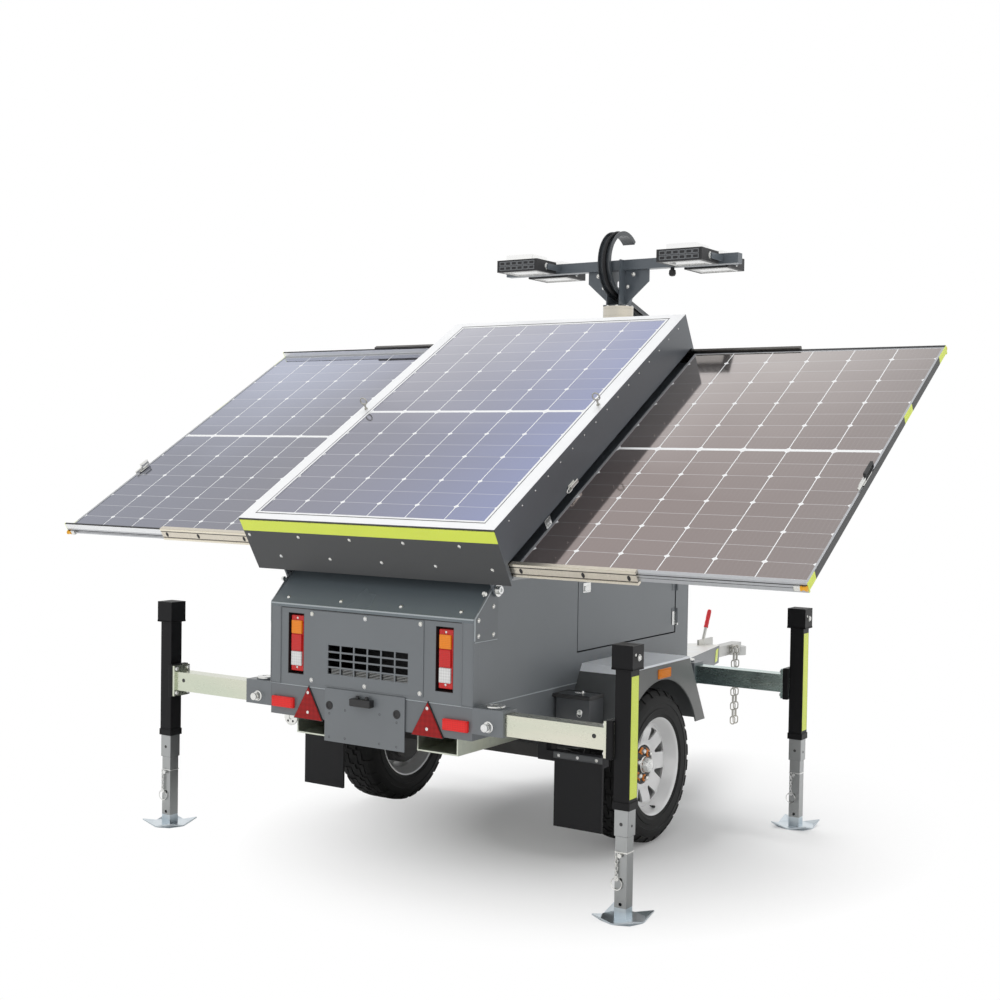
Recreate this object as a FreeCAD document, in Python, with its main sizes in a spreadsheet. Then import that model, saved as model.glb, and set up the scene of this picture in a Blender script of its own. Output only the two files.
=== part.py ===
import FreeCAD, Part

import math
import os

import Sketcher

# Mobile light tower on a braked single-axle trailer, in millimetres. +X is the machine's right side,
# +Y its towing end and +Z up. The origin lies on the ground, under the middle of the whole machine.

doc = FreeCAD.newDocument("light_tower")
sheet = doc.addObject("Spreadsheet::Sheet", "sizes")

SIZES = (
    # chassis: a frame of folded channel, open in the middle
    ("rear_y", -1781), ("chassis_long", 1837), ("chassis_half", 502), ("chassis_low", 568),
    ("chassis_tall", 126), ("channel_wall", 6), ("channel_flange", 50), ("cross_tall", 60),
    ("cross_wide", 50), ("cross_rear_inset", 481), ("cross_front_inset", 476),
    # equipment cabinet on the chassis
    ("sheet_wall", 3), ("rear_tall", 334), ("hood_run", 141), ("cabinet_tall", 464),
    ("door_rear_inset", 783), ("door_front_inset", 139), ("door_rise", 133), ("door_tall", 306),
    ("door_thick", 18), ("door_gap", 6), ("hinge_radius", 7), ("hinge_long", 70),
    ("strap_thick", 2), ("strap_wide", 40),
    # rear face of the cabinet
    ("lamp_x", 370.5), ("lamp_wide", 83), ("lamp_rise", 47), ("lamp_tall", 249), ("lamp_deep", 45),
    ("lamp_thick", 36), ("lamp_play", 6), ("hatch_left", -299), ("hatch_wide", 572), ("hatch_rise", 17),
    ("hatch_tall", 295), ("grille_wide", 400), ("grille_rise", 64), ("grille_tall", 116), ("grille_bar", 7),
    ("plate_left", -210), ("plate_wide", 400), ("plate_drop", 80), ("plate_tall", 213),
    ("plate_thick", 4), ("reflector_x", 298), ("reflector_wide", 150), ("reflector_drop", 5),
    ("reflector_tall", 134), ("marker_x", 430.5), ("marker_wide", 119), ("marker_rise", 53),
    ("marker_tall", 45), ("trim_thick", 8),
    # fork pockets under the chassis
    ("pocket_x", 307), ("pocket_wide", 194), ("pocket_tall", 78), ("pocket_wall", 6),
    ("pocket_long", 900), ("pocket_inset", 51),
    # battery and generator set inside the cabinet, one closed block
    ("pack_wide", 480), ("pack_rear_inset", 231), ("pack_front_inset", 306), ("pack_tall", 330),
    ("skid_tall", 40),
    # axle, springs and wheels
    ("axle_share", 0.56886), ("tyre_radius", 328), ("tyre_wide", 205), ("tyre_x", 652.5),
    ("bead_radius", 192), ("rim_radius", 208), ("rim_wide", 160), ("rim_wall", 5),
    ("disc_x", 650), ("disc_thick", 8), ("hub_radius", 42), ("hub_play", 0.3), ("hub_long", 26),
    ("cap_radius", 34), ("cap_long", 34), ("cap_plate", 4), ("beam_side", 60), ("drum_radius", 125),
    ("drum_long", 62), ("spring_x", 446), ("spring_wide", 50), ("spring_half", 400), ("spring_rise", 70),
    ("leaf_thick", 8), ("nut_circle", 114.3), ("nut_radius", 11), ("nut_tall", 16),
    ("shoulder_drop", 22), ("shoulder_wide", 26),
    # fenders and what hangs behind the wheels
    ("fender_x", 765), ("fender_top", 773), ("fender_behind", 223), ("fender_ahead", 270),
    ("fender_slope", 170), ("fender_tip", 473), ("fender_wall", 4), ("skirt_arch", 372),
    ("flap_behind", 515), ("flap_x", 659), ("flap_wide", 222), ("flap_low", 148), ("flap_tall", 300),
    ("flap_thick", 12), ("bracket_tall", 40), ("box_x", 597.5), ("box_wide", 155), ("box_behind", 460),
    ("box_long", 115), ("box_low", 558), ("box_tall", 105), ("lid_thick", 12), ("lid_lip", 3),
    # drawbar and coupling
    ("tongue_long", 1340), ("tongue_pitch", 3.3), ("tongue_rise", 84), ("tongue_rail", 100),
    ("tongue_foot", 450), ("tongue_tip", 62), ("tongue_wide", 55), ("tongue_plate", 4),
    ("tongue_nose", 8), ("shank_side", 60), ("ball_run", 410.22), ("ball_drop", 88.87), ("ball_radius", 25),
    ("ball_play", 0.5), ("house_wall", 20), ("house_tall", 50), ("mouth_deep", 12),
    ("link_long", 60), ("link_wide", 34), ("link_wire", 9), ("link_play", 0.4), ("chain_x", 48),
    ("chain_run", 256.2), ("chain_drop", 54.87), ("chain_side", 20.4), ("chain_pin", 6),
    ("lever_long", 225), ("lever_radius", 9), ("lever_back", 110), ("lever_lean", 26),
    # outriggers: telescopic arms, each with a drop leg
    ("leg_inset", 48), ("leg_front_inset", 160), ("leg_x", 1131), ("arm_wide", 70),
    ("arm_tall", 80), ("arm_rise", 74), ("arm_wall", 5), ("arm_inner_x", 505), ("arm_outer_x", 1074),
    ("slide_play", 0.5), ("socket_wall", 5), ("socket_inner_x", 40), ("socket_outer_x", 640),
    ("block_x", 575), ("block_wall", 8), ("disc_radius", 37), ("disc_tall", 6), ("flange_long", 132),
    ("flange_wide", 92), ("flange_thick", 10), ("leg_side", 62), ("leg_low", 398), ("leg_top", 965),
    ("cap_side", 84), ("cap_tall", 89), ("cap_over", 18), ("sleeve_low", 301), ("sleeve_side", 56),
    ("inner_side", 48), ("inner_wall", 4), ("inner_top", 735), ("foot_side", 164), ("foot_corner", 1.4),
    ("foot_flat", 70), ("foot_rise", 20), ("foot_thick", 6), ("hole_half", 7), ("hole_pitch", 88),
    ("hole_low", 58),
    # telescopic mast in front of the cabinet
    ("mast_ahead", 168), ("mast_rise", 94), ("mast_top", 2404), ("mast_outer", 140), ("mast_wall", 4),
    ("mast_gap", 5), ("mast_play", 0.3), ("collar_radius", 77), ("collar_tall", 35),
    ("collar_gap", 0.5), ("pad_tall", 60), ("head_flange", 12), ("shelf_thick", 8),
    ("clamp_rise", 326), ("clamp_tall", 50), ("clamp_radius", 92), ("clamp_arm_half", 60),
    # lamp head
    ("bar_side", 50), ("bar_half", 660), ("bar_rise", 207), ("gusset_half", 140), ("gusset_deep", 58),
    ("gusset_thick", 6), ("guide_radius", 151), ("guide_wide", 66), ("guide_wall", 4),
    ("guide_lip", 16), ("guide_ahead", 5), ("guide_rise", 212), ("guide_run", 330), ("cable_radius", 9),
    ("light_x", 455), ("light_wide", 238), ("light_deep", 190), ("light_tall", 60), ("lens_inset", 20),
    ("lens_deep", 4), ("light_y", 152), ("bracket_thick", 4), ("light_gap", 5), ("tilt_radius", 6),
    ("fork_tall", 30),
    # solar deck, hinged on the cabinet's rear edge
    ("deck_tilt", 30.8), ("pin_inset", 135), ("pin_drop", 27), ("deck_side", 64), ("deck_rear", 51.6),
    ("deck_end", 43), ("deck_low", 81.5), ("deck_tall", 229), ("deck_wall", 3),
    ("module_long", 1722), ("module_wide", 1134), ("module_thick", 30), ("frame_lip", 11),
    ("glass_drop", 1.5), ("glass_thick", 6), ("left_glass", 179), ("right_glass", 134.5),
    ("rail_left", 187), ("rail_right", 116.5), ("rail_tall", 58), ("rail_wide", 20), ("bar_tall", 38),
    ("bar_wide", 8), ("drawer_beyond", 27), ("mid_beyond", 529), ("rail_play", 0.5), ("slot_play", 5),
    ("slot_deep", 49),
    ("ear_x", 512), ("ear_thick", 8), ("ear_radius", 26), ("pin_radius", 10), ("pin_play", 0.3),
    ("side_plate", 6), ("plate_drop_low", 88), ("plate_reach", 22),
    # lifting ram under the deck
    ("ram_inset", 50), ("ram_rise", 27), ("ram_x", 300), ("ram_radius", 20), ("ram_eye", 900),
    ("ram_eye_high", 60), ("ram_long", 700), ("ram_wall", 4), ("ram_rod", 11), ("ram_play", 0.3),
    ("ram_lug", 8), ("eye_wide", 16), ("ram_pin", 8), ("ram_neck", 50), ("gland_long", 30),
    ("plug_long", 20), ("rod_inside", 200), ("link_half", 10), ("lug_reach", 26),
)


class Rule:
    """A length worked out from the sheet: the expression that binds it, and its value now."""

    def __init__(self, text, value):
        self.text = text
        self.value = value

    def __add__(self, other):
        other = as_rule(other)
        return Rule(f"({self.text} + {other.text})", self.value + other.value)

    def __sub__(self, other):
        other = as_rule(other)
        return Rule(f"({self.text} - {other.text})", self.value - other.value)

    def __mul__(self, other):
        other = as_rule(other)
        return Rule(f"({self.text} * {other.text})", self.value * other.value)

    def __truediv__(self, other):
        other = as_rule(other)
        return Rule(f"({self.text} / {other.text})", self.value / other.value)

    def __neg__(self):
        return Rule(f"(0 - {self.text})", -self.value)

    __radd__ = __add__
    __rmul__ = __mul__

    def __rsub__(self, other):
        return as_rule(other) - self


def as_rule(amount):
    """A rule as it is, or a plain number as a rule."""
    return amount if isinstance(amount, Rule) else Rule(f"({amount:.6g})", float(amount))


def sine(angle):
    """Sine of an angle in degrees."""
    return Rule(f"sin({angle.text} * 1 deg)", math.sin(math.radians(angle.value)))


def cosine(angle):
    """Cosine of an angle in degrees."""
    return Rule(f"cos({angle.text} * 1 deg)", math.cos(math.radians(angle.value)))


class Sizes:
    """The sheet's cells as rules, one attribute for each alias."""


size = Sizes()
for row, (alias, amount) in enumerate(SIZES, start=1):
    sheet.set(f"A{row}", alias)
    sheet.set(f"B{row}", str(amount))
    sheet.setAlias(f"B{row}", alias)
    setattr(size, alias, Rule(f"sizes.{alias}", float(amount)))
doc.recompute()

# Levels and edges that several pieces share
ZERO = as_rule(0)
front_y = size.rear_y + size.chassis_long
chassis_top = size.chassis_low + size.chassis_tall
roof_z = chassis_top + size.cabinet_tall
hood_z = chassis_top + size.rear_tall
size.wheel_y = size.rear_y + size.chassis_long * size.axle_share
size.cross_rear_y = size.rear_y + size.cross_rear_inset
size.cross_front_y = front_y - size.cross_front_inset
size.door_rear_y = size.rear_y + size.door_rear_inset
size.door_long = size.chassis_long - size.door_rear_inset - size.door_front_inset
size.door_low = chassis_top + size.door_rise
size.lamp_low = chassis_top + size.lamp_rise
size.hatch_low = chassis_top + size.hatch_rise
size.grille_low = chassis_top + size.grille_rise
size.plate_low = size.chassis_low - size.plate_drop
size.reflector_low = size.chassis_low - size.reflector_drop
size.marker_z = size.chassis_low + size.marker_rise
size.pack_long = size.chassis_long - size.pack_rear_inset - size.pack_front_inset
size.pack_y = size.rear_y + size.pack_rear_inset + size.pack_long / 2
size.fender_rear_y = size.wheel_y - size.fender_behind
size.fender_front_y = size.wheel_y + size.fender_ahead
size.flap_y = size.wheel_y - size.flap_behind
size.box_y = size.wheel_y - size.box_behind
size.tongue_high = size.chassis_low + size.tongue_rise
size.leg_rear_y = size.rear_y + size.leg_inset
size.leg_front_y = front_y - size.leg_front_inset
size.arm_z = size.chassis_low + size.arm_rise
size.mast_y = front_y + size.mast_ahead
size.mast_low = size.chassis_low + size.mast_rise
size.clamp_z = chassis_top + size.clamp_rise
size.bar_z = size.mast_top + size.bar_rise
size.guide_y = size.mast_y + size.guide_ahead
size.guide_z = size.mast_top + size.guide_rise
size.pin_y = size.rear_y + size.pin_inset
size.pin_z = roof_z - size.pin_drop
size.deck_half = size.module_wide / 2 + size.deck_side
size.deck_long = size.module_long + size.deck_end * 2
size.drawer_edge = size.deck_half + size.module_wide + size.drawer_beyond
size.mid_reach = size.deck_half + size.mid_beyond
size.ram_y = front_y - size.ram_inset
size.ram_z = roof_z + size.ram_rise

TURNS = {"X": (FreeCAD.Vector(0, 1, 0), 90), "Y": (FreeCAD.Vector(1, 0, 0), -90),
         "Z": (FreeCAD.Vector(0, 0, 1), 0)}
counter = {}


def name_for(label):
    """A document name that is free: the label, numbered from its second use."""
    counter[label] = counter.get(label, 0) + 1
    return label if counter[label] == 1 else f"{label}_{counter[label]}"


def bind(item, path, amount):
    """Ties one property of an object to a rule."""
    item.setExpression(path, as_rule(amount).text)


def place(item, at, axis=None, angle=None):
    """Puts an object at a point, turned about an axis through that point."""
    if axis is not None:
        turn = FreeCAD.Rotation(FreeCAD.Vector(*axis), as_rule(angle).value)
        item.Placement = FreeCAD.Placement(FreeCAD.Vector(), turn)
        if isinstance(angle, Rule):
            bind(item, "Placement.Rotation.Angle", angle)
    for letter, amount in zip("xyz", at):
        bind(item, f"Placement.Base.{letter}", amount)
    return item


def box(label, low, high):
    """A box between two corners."""
    item = doc.addObject("Part::Box", name_for(label))
    for side, start, end in zip(("Length", "Width", "Height"), low, high):
        bind(item, side, as_rule(end) - start)
    return place(item, low)


def cylinder(label, axis, start, long, radius):
    """A round bar that runs from a point along +X, +Y or +Z."""
    item = doc.addObject("Part::Cylinder", name_for(label))
    bind(item, "Height", long)
    bind(item, "Radius", radius)
    way, angle = TURNS[axis]
    return place(item, start, way, angle)


def fuse(label, items):
    """One solid from pieces that touch."""
    item = doc.addObject("Part::MultiFuse", name_for(label))
    item.Shapes = list(items)
    item.Refine = True
    return item


def cut(label, base, tools):
    """A piece with holes or hollows taken out."""
    item = doc.addObject("Part::Cut", name_for(label))
    item.Base = base
    item.Tool = tools[0] if len(tools) == 1 else fuse(f"{label}_tools", tools)
    return item


def group(label, items):
    """Pieces of one sub-part that stand apart."""
    item = doc.addObject("Part::Compound", name_for(label))
    item.Links = list(items)
    return item


def mirror(label, source):
    """The same piece on the machine's other side."""
    item = doc.addObject("Part::Mirroring", name_for(label))
    item.Source = source
    item.Normal = FreeCAD.Vector(1, 0, 0)
    return item


def pipe(label, axis, start, long, outer, inner):
    """A round tube."""
    return cut(label, cylinder(f"{label}_skin", axis, start, long, outer),
               [cylinder(f"{label}_bore", axis, start, long, inner)])


def ring_polygon(label, sides, at, radius, axis="Z", turn=0):
    """A regular polygon about a point, square to an axis, with the given radius to its corners."""
    item = doc.addObject("Part::RegularPolygon", name_for(label))
    item.Polygon = sides
    bind(item, "Circumradius", radius)
    way, angle = TURNS[axis]
    lay = FreeCAD.Rotation(way, angle) * FreeCAD.Rotation(FreeCAD.Vector(0, 0, 1), turn)
    item.Placement = FreeCAD.Placement(FreeCAD.Vector(), lay)
    for letter, amount in zip("xyz", at):
        bind(item, f"Placement.Base.{letter}", amount)
    return item


def loft(label, sections):
    """A solid with flat sides through a row of polygons."""
    item = doc.addObject("Part::Loft", name_for(label))
    item.Sections = sections
    item.Solid = True
    item.Ruled = True
    return item


def span(side, near, far):
    """A stretch of X between two distances from the middle, on the side +1 or -1."""
    return (as_rule(near), as_rule(far)) if side > 0 else (-as_rule(far), -as_rule(near))


class Solid:
    """One body, built up by pads, pockets and turned profiles from sketches held by bound distances."""

    NORMAL = {"XY": 1, "XZ": -1, "YZ": 1}

    def __init__(self, label):
        self.body = doc.addObject("PartDesign::Body", name_for(label))

    def role(self, role):
        """One of the body's own planes or axes."""
        return next(item for item in self.body.Origin.OriginFeatures if item.Role == role)

    def sketch(self, plane, offset, loops, circles=()):
        """A sketch of closed outlines and circles on a plane at a distance from the body's origin."""
        item = self.body.newObject("Sketcher::SketchObject", name_for(f"{self.body.Name}_sketch"))
        item.AttachmentSupport = [(self.role(f"{plane}_Plane"), "")]
        item.MapMode = "FlatFace"
        bind(item, "AttachmentOffset.Base.z", as_rule(offset) * self.NORMAL[plane])
        for loop in loops:
            points = [FreeCAD.Vector(as_rule(x).value, as_rule(y).value, 0) for x, y in loop]
            first = item.GeometryCount
            for here, there in zip(points, points[1:] + points[:1]):
                item.addGeometry(Part.LineSegment(here, there), False)
            for number, corner in enumerate(loop):
                edge = first + number
                before = first + (number - 1) % len(loop)
                item.addConstraint(Sketcher.Constraint("Coincident", before, 2, edge, 1))
                self.hold(item, edge, 1, corner)
        for centre, radius in circles:
            x, y = (as_rule(amount).value for amount in centre)
            shape = Part.Circle(FreeCAD.Vector(x, y, 0), FreeCAD.Vector(0, 0, 1), as_rule(radius).value)
            edge = item.addGeometry(shape, False)
            self.hold(item, edge, 3, centre)
            number = item.addConstraint(Sketcher.Constraint("Radius", edge, as_rule(radius).value))
            bind(item, f"Constraints[{number}]", radius)
        return item

    @staticmethod
    def hold(item, edge, end, corner):
        """Holds one point of a sketch at its two distances from the sketch's origin."""
        for kind, amount in zip(("DistanceX", "DistanceY"), corner):
            amount = as_rule(amount)
            number = item.addConstraint(Sketcher.Constraint(kind, -1, 1, edge, end, amount.value))
            bind(item, f"Constraints[{number}]", amount)

    def feature(self, kind, plane, start, long, loops, circles):
        profile = self.sketch(plane, start, loops, circles)
        item = self.body.newObject(f"PartDesign::{kind}", name_for(f"{self.body.Name}_{kind.lower()}"))
        item.Profile = profile
        bind(item, "Length", long)
        item.Reversed = (self.NORMAL[plane] > 0) == (kind == "Pocket")
        self.body.Tip = item
        return item

    def pad(self, plane, start, long, loops=(), circles=()):
        """Adds material from a plane at a distance, along the positive axis."""
        return self.feature("Pad", plane, start, long, loops, circles)

    def pocket(self, plane, start, long, loops=(), circles=()):
        """Takes material away from a plane at a distance, along the positive axis."""
        return self.feature("Pocket", plane, start, long, loops, circles)

    def revolve(self, plane, axis, loop):
        """A turned solid about one of the body's axes."""
        profile = self.sketch(plane, 0, [loop])
        item = self.body.newObject("PartDesign::Revolution", name_for(f"{self.body.Name}_turned"))
        item.Profile = profile
        item.ReferenceAxis = (self.role(f"{axis}_Axis"), [""])
        item.Angle = 360
        self.body.Tip = item
        return item

    def repeat(self, source, axis, long, count):
        """A row of one feature along an axis."""
        item = self.body.newObject("PartDesign::LinearPattern", name_for(f"{self.body.Name}_row"))
        item.Originals = [source]
        item.Direction = (self.role(f"{axis}_Axis"), [""])
        bind(item, "Length", long)
        item.Occurrences = count
        self.body.Tip = item
        return item

    def around(self, source, axis, count):
        """A ring of one feature about an axis."""
        item = self.body.newObject("PartDesign::PolarPattern", name_for(f"{self.body.Name}_ring"))
        item.Originals = [source]
        item.Axis = (self.role(f"{axis}_Axis"), [""])
        item.Angle = 360
        item.Occurrences = count
        self.body.Tip = item
        return item


def rectangle(left, low, right, high):
    """A closed outline with four corners."""
    return [(left, low), (right, low), (right, high), (left, high)]


def hexagon(u, v, radius):
    """A hexagon about a point, with two flat sides upright."""
    tall, half_wide = radius, radius * 0.866
    return [(u - half_wide, v - tall / 2), (u, v - tall), (u + half_wide, v - tall / 2),
            (u + half_wide, v + tall / 2), (u, v + tall), (u - half_wide, v + tall / 2)]


nodes = []


def keep(item, label):
    """Marks an object as a finished sub-part."""
    item = item.body if isinstance(item, Solid) else item
    item.Label = label
    nodes.append(item)
    return item


# Chassis: channel all round, two cross members and windows for the outrigger sockets
chassis = Solid("chassis_body")
half = size.chassis_half
outer = rectangle(-half, size.rear_y, half, front_y)
for low, tall, inward in ((size.chassis_low, size.chassis_tall, size.channel_wall),
                          (size.chassis_low, size.channel_wall, size.channel_flange),
                          (chassis_top - size.channel_wall, size.channel_wall, size.channel_flange)):
    inner = rectangle(inward - half, size.rear_y + inward, half - inward, front_y - inward)
    chassis.pad("XY", low, tall, [outer, inner])
for cross_y in (size.cross_rear_y, size.cross_front_y):
    member = rectangle(size.channel_wall - half, cross_y, half - size.channel_wall, cross_y + size.cross_wide)
    chassis.pad("XY", size.chassis_low, size.cross_tall, [member])
socket_half = size.arm_wide / 2 + size.slide_play + size.socket_wall
socket_high = size.arm_tall / 2 + size.slide_play + size.socket_wall
for leg_y in (size.leg_rear_y, size.leg_front_y):
    window = rectangle(leg_y - socket_half, size.arm_z - socket_high,
                       leg_y + socket_half, size.arm_z + socket_high)
    chassis.pocket("YZ", -half, size.chassis_half * 2, [window])
keep(chassis, "chassis_frame")

# Fork pockets: two open tubes under the chassis, for lifting the whole machine
pockets = []
pocket_y = size.rear_y + size.pocket_inset
pocket_low = size.chassis_low - size.pocket_tall
for side in (1, -1):
    left, right = span(side, size.pocket_x - size.pocket_wide / 2, size.pocket_x + size.pocket_wide / 2)
    wall = size.pocket_wall
    skin = box("pocket_skin", (left, pocket_y, pocket_low),
               (right, pocket_y + size.pocket_long, size.chassis_low))
    bore = box("pocket_bore", (left + wall, pocket_y - 1, pocket_low + wall),
               (right - wall, pocket_y + size.pocket_long + 1, size.chassis_low - wall))
    pockets.append(cut("pocket", skin, [bore]))
keep(group("pocket_pair", pockets), "fork_pockets")

# Cabinet: folded sheet with a sloping hood, door openings and recesses for the rear lamps
cabinet = Solid("cabinet_body")
wall = size.sheet_wall
profile = [(size.rear_y, chassis_top), (front_y, chassis_top), (front_y, roof_z),
           (size.rear_y + size.hood_run, roof_z), (size.rear_y, hood_z)]
hollow = [(size.rear_y + wall, chassis_top + wall), (front_y - wall, chassis_top + wall),
          (front_y - wall, roof_z - wall), (size.rear_y + size.hood_run + wall, roof_z - wall),
          (size.rear_y + wall, hood_z - wall)]
cabinet.pad("YZ", -half, half * 2, [profile])
cabinet.pocket("YZ", wall - half, (half - wall) * 2, [hollow])
recess_low = size.lamp_low - wall
recess_high = size.lamp_low + size.lamp_tall + wall
for side in (1, -1):
    left, right = span(side, size.lamp_x - size.lamp_wide / 2, size.lamp_x + size.lamp_wide / 2)
    cabinet.pad("XZ", size.rear_y + wall, size.lamp_deep + wall,
                [rectangle(left - wall, recess_low, right + wall, recess_high)])
for side in (1, -1):
    left, right = span(side, size.lamp_x - size.lamp_wide / 2, size.lamp_x + size.lamp_wide / 2)
    cabinet.pocket("XZ", size.rear_y, size.lamp_deep + wall,
                   [rectangle(left, size.lamp_low, right, size.lamp_low + size.lamp_tall)])
grille_half = size.grille_wide / 2
cabinet.pocket("XZ", size.rear_y, wall,
               [rectangle(-grille_half, size.grille_low, grille_half, size.grille_low + size.grille_tall)])
door_front_y = size.door_rear_y + size.door_long
opening = rectangle(size.door_rear_y - size.door_gap, size.door_low - size.door_gap,
                    door_front_y + size.door_gap, size.door_low + size.door_tall + size.door_gap)
cabinet.pocket("YZ", -half, wall, [opening])
cabinet.pocket("YZ", half - wall, wall, [opening])
keep(cabinet, "cabinet")

# Battery and generator set, standing on skids on the cabinet floor
floor_z = chassis_top + wall
pack_half = size.pack_wide / 2
pack = box("pack_block", (-pack_half, size.pack_y - size.pack_long / 2, floor_z + size.skid_tall),
           (pack_half, size.pack_y + size.pack_long / 2, floor_z + size.skid_tall + size.pack_tall))
skids = []
for side in (1, -1):
    left, right = span(side, pack_half - size.skid_tall, pack_half)
    skids.append(box("skid", (left, size.pack_y - size.pack_long / 2, floor_z),
                     (right, size.pack_y + size.pack_long / 2, floor_z + size.skid_tall)))
keep(fuse("pack", [pack] + skids), "power_pack")

# Hatch with its grille of six columns and four rows of openings
hatch = Solid("hatch_body")
hatch.pad("XZ", size.rear_y - wall, wall,
          [rectangle(size.hatch_left, size.hatch_low, size.hatch_left + size.hatch_wide,
                     size.hatch_low + size.hatch_tall)])
COLUMNS, ROWS = 6, 4
column = (size.grille_wide + size.grille_bar) / COLUMNS
tier = (size.grille_tall + size.grille_bar) / ROWS
holes = [rectangle(-grille_half, size.grille_low + tier * row, column - size.grille_bar - grille_half,
                   size.grille_low + tier * (row + 1) - size.grille_bar) for row in range(ROWS)]
slots = hatch.pocket("XZ", size.rear_y - wall, wall, holes)
hatch.repeat(slots, "X", column * (COLUMNS - 1), COLUMNS)
keep(hatch, "hatch")

# Blank carrier for the registration plate, with its lamp
carrier = Solid("carrier_body")
carrier_y = size.rear_y - wall - size.plate_thick
carrier.pad("XZ", carrier_y, size.plate_thick,
            [rectangle(size.plate_left, size.plate_low, size.plate_left + size.plate_wide,
                       size.plate_low + size.plate_tall)])
carrier.pad("XZ", carrier_y + size.plate_thick, wall,
            [rectangle(size.plate_left + 20, size.chassis_low + 10, size.plate_left + size.plate_wide - 20,
                       size.hatch_low - 15)])
keep(carrier, "plate_carrier")

# Tail lamp clusters, seated on the back of their recesses
clusters = []
for side in (1, -1):
    left, right = span(side, size.lamp_x - size.lamp_wide / 2 + size.lamp_play,
                       size.lamp_x + size.lamp_wide / 2 - size.lamp_play)
    back = size.rear_y + size.lamp_deep + wall
    clusters.append(box("cluster", (left, back - size.lamp_thick, size.lamp_low + size.lamp_play),
                        (right, back, size.lamp_low + size.lamp_tall - size.lamp_play)))
keep(group("clusters", clusters), "tail_lamps")

# Triangular reflectors and marker lamps
markers = []
trim_y = size.rear_y - size.trim_thick
for side in (1, -1):
    triangle = Solid("reflector")
    middle = size.reflector_x * side
    high = size.reflector_low + size.reflector_tall
    triangle.pad("XZ", trim_y, size.trim_thick,
                 [[(middle - size.reflector_wide / 2, size.reflector_low),
                   (middle + size.reflector_wide / 2, size.reflector_low), (middle, high)]])
    markers.append(triangle.body)
    left, right = span(side, size.marker_x - size.marker_wide / 2, size.marker_x + size.marker_wide / 2)
    markers.append(box("marker", (left, trim_y - size.trim_thick, size.marker_z - size.marker_tall / 2),
                       (right, size.rear_y, size.marker_z + size.marker_tall / 2)))
    left, right = span(side, size.fender_x, size.fender_x + size.trim_thick)
    markers.append(box("side_marker", (left, size.wheel_y - 20, size.fender_top - 70),
                       (right, size.wheel_y + 60, size.fender_top - 30)))
keep(group("marker_set", markers), "markers")

# Cabinet doors, hinged at their front edge
hinge_y = door_front_y + size.door_gap / 2
for side, tag in ((1, "right"), (-1, "left")):
    left, right = span(side, half - size.door_thick, half)
    leaf = box("door_leaf", (left, size.door_rear_y, size.door_low),
               (right, door_front_y - size.door_gap, size.door_low + size.door_tall))
    pieces = [leaf]
    for level in (0.25, 0.75):
        low = size.door_low + size.door_tall * level - size.hinge_long / 2
        left, right = span(side, half, half + size.strap_thick)
        pieces.append(box("hinge_strap", (left, hinge_y - size.strap_wide, low),
                          (right, hinge_y, low + size.hinge_long)))
        pieces.append(cylinder("knuckle", "Z", ((half + size.hinge_radius) * side, hinge_y, low),
                               size.hinge_long, size.hinge_radius))
    keep(fuse("door", pieces), f"door_{tag}")

# Axle beam with its brake drums and the hubs that the wheels turn on
axle_z = size.tyre_radius
beam_half = size.beam_side / 2
drum_x = size.disc_x - size.drum_long - size.hub_long
axle_pieces = [box("beam", (-drum_x, size.wheel_y - beam_half, axle_z - beam_half),
                   (drum_x, size.wheel_y + beam_half, axle_z + beam_half))]
for side in (1, -1):
    left, right = span(side, drum_x, drum_x + size.drum_long)
    axle_pieces.append(cylinder("drum", "X", (left, size.wheel_y, axle_z), size.drum_long, size.drum_radius))
    left, right = span(side, drum_x, size.disc_x + size.disc_thick)
    axle_pieces.append(cylinder("hub", "X", (left, size.wheel_y, axle_z), right - left, size.hub_radius))
SPRING_LEAVES = 3
spring_z = axle_z + beam_half
for side in (1, -1):
    left, right = span(side, size.spring_x - size.spring_wide / 2, size.spring_x + size.spring_wide / 2)
    spring = Solid("spring")
    for leaf in range(SPRING_LEAVES):
        reach = size.spring_half * (1 - 0.25 * leaf)
        rise = size.spring_rise * (1 - 0.25 * leaf) * (1 - 0.25 * leaf)
        low = spring_z + size.leaf_thick * leaf
        leaf_outline = [(size.wheel_y - reach, low + rise), (size.wheel_y - reach / 2, low + rise / 4),
                        (size.wheel_y, low), (size.wheel_y + reach / 2, low + rise / 4),
                        (size.wheel_y + reach, low + rise),
                        (size.wheel_y + reach, low + rise + size.leaf_thick),
                        (size.wheel_y + reach / 2, low + rise / 4 + size.leaf_thick),
                        (size.wheel_y, low + size.leaf_thick),
                        (size.wheel_y - reach / 2, low + rise / 4 + size.leaf_thick),
                        (size.wheel_y - reach, low + rise + size.leaf_thick)]
        spring.pad("YZ", left, size.spring_wide, [leaf_outline])
    axle_pieces.append(spring.body)
    for end in (-1, 1):
        hanger_y = size.wheel_y + size.spring_half * end
        axle_pieces.append(box("hanger", (left, hanger_y - size.beam_side / 2, spring_z + size.spring_rise),
                               (right, hanger_y + size.beam_side / 2, size.chassis_low)))
keep(fuse("axle_set", axle_pieces), "axle")

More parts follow.
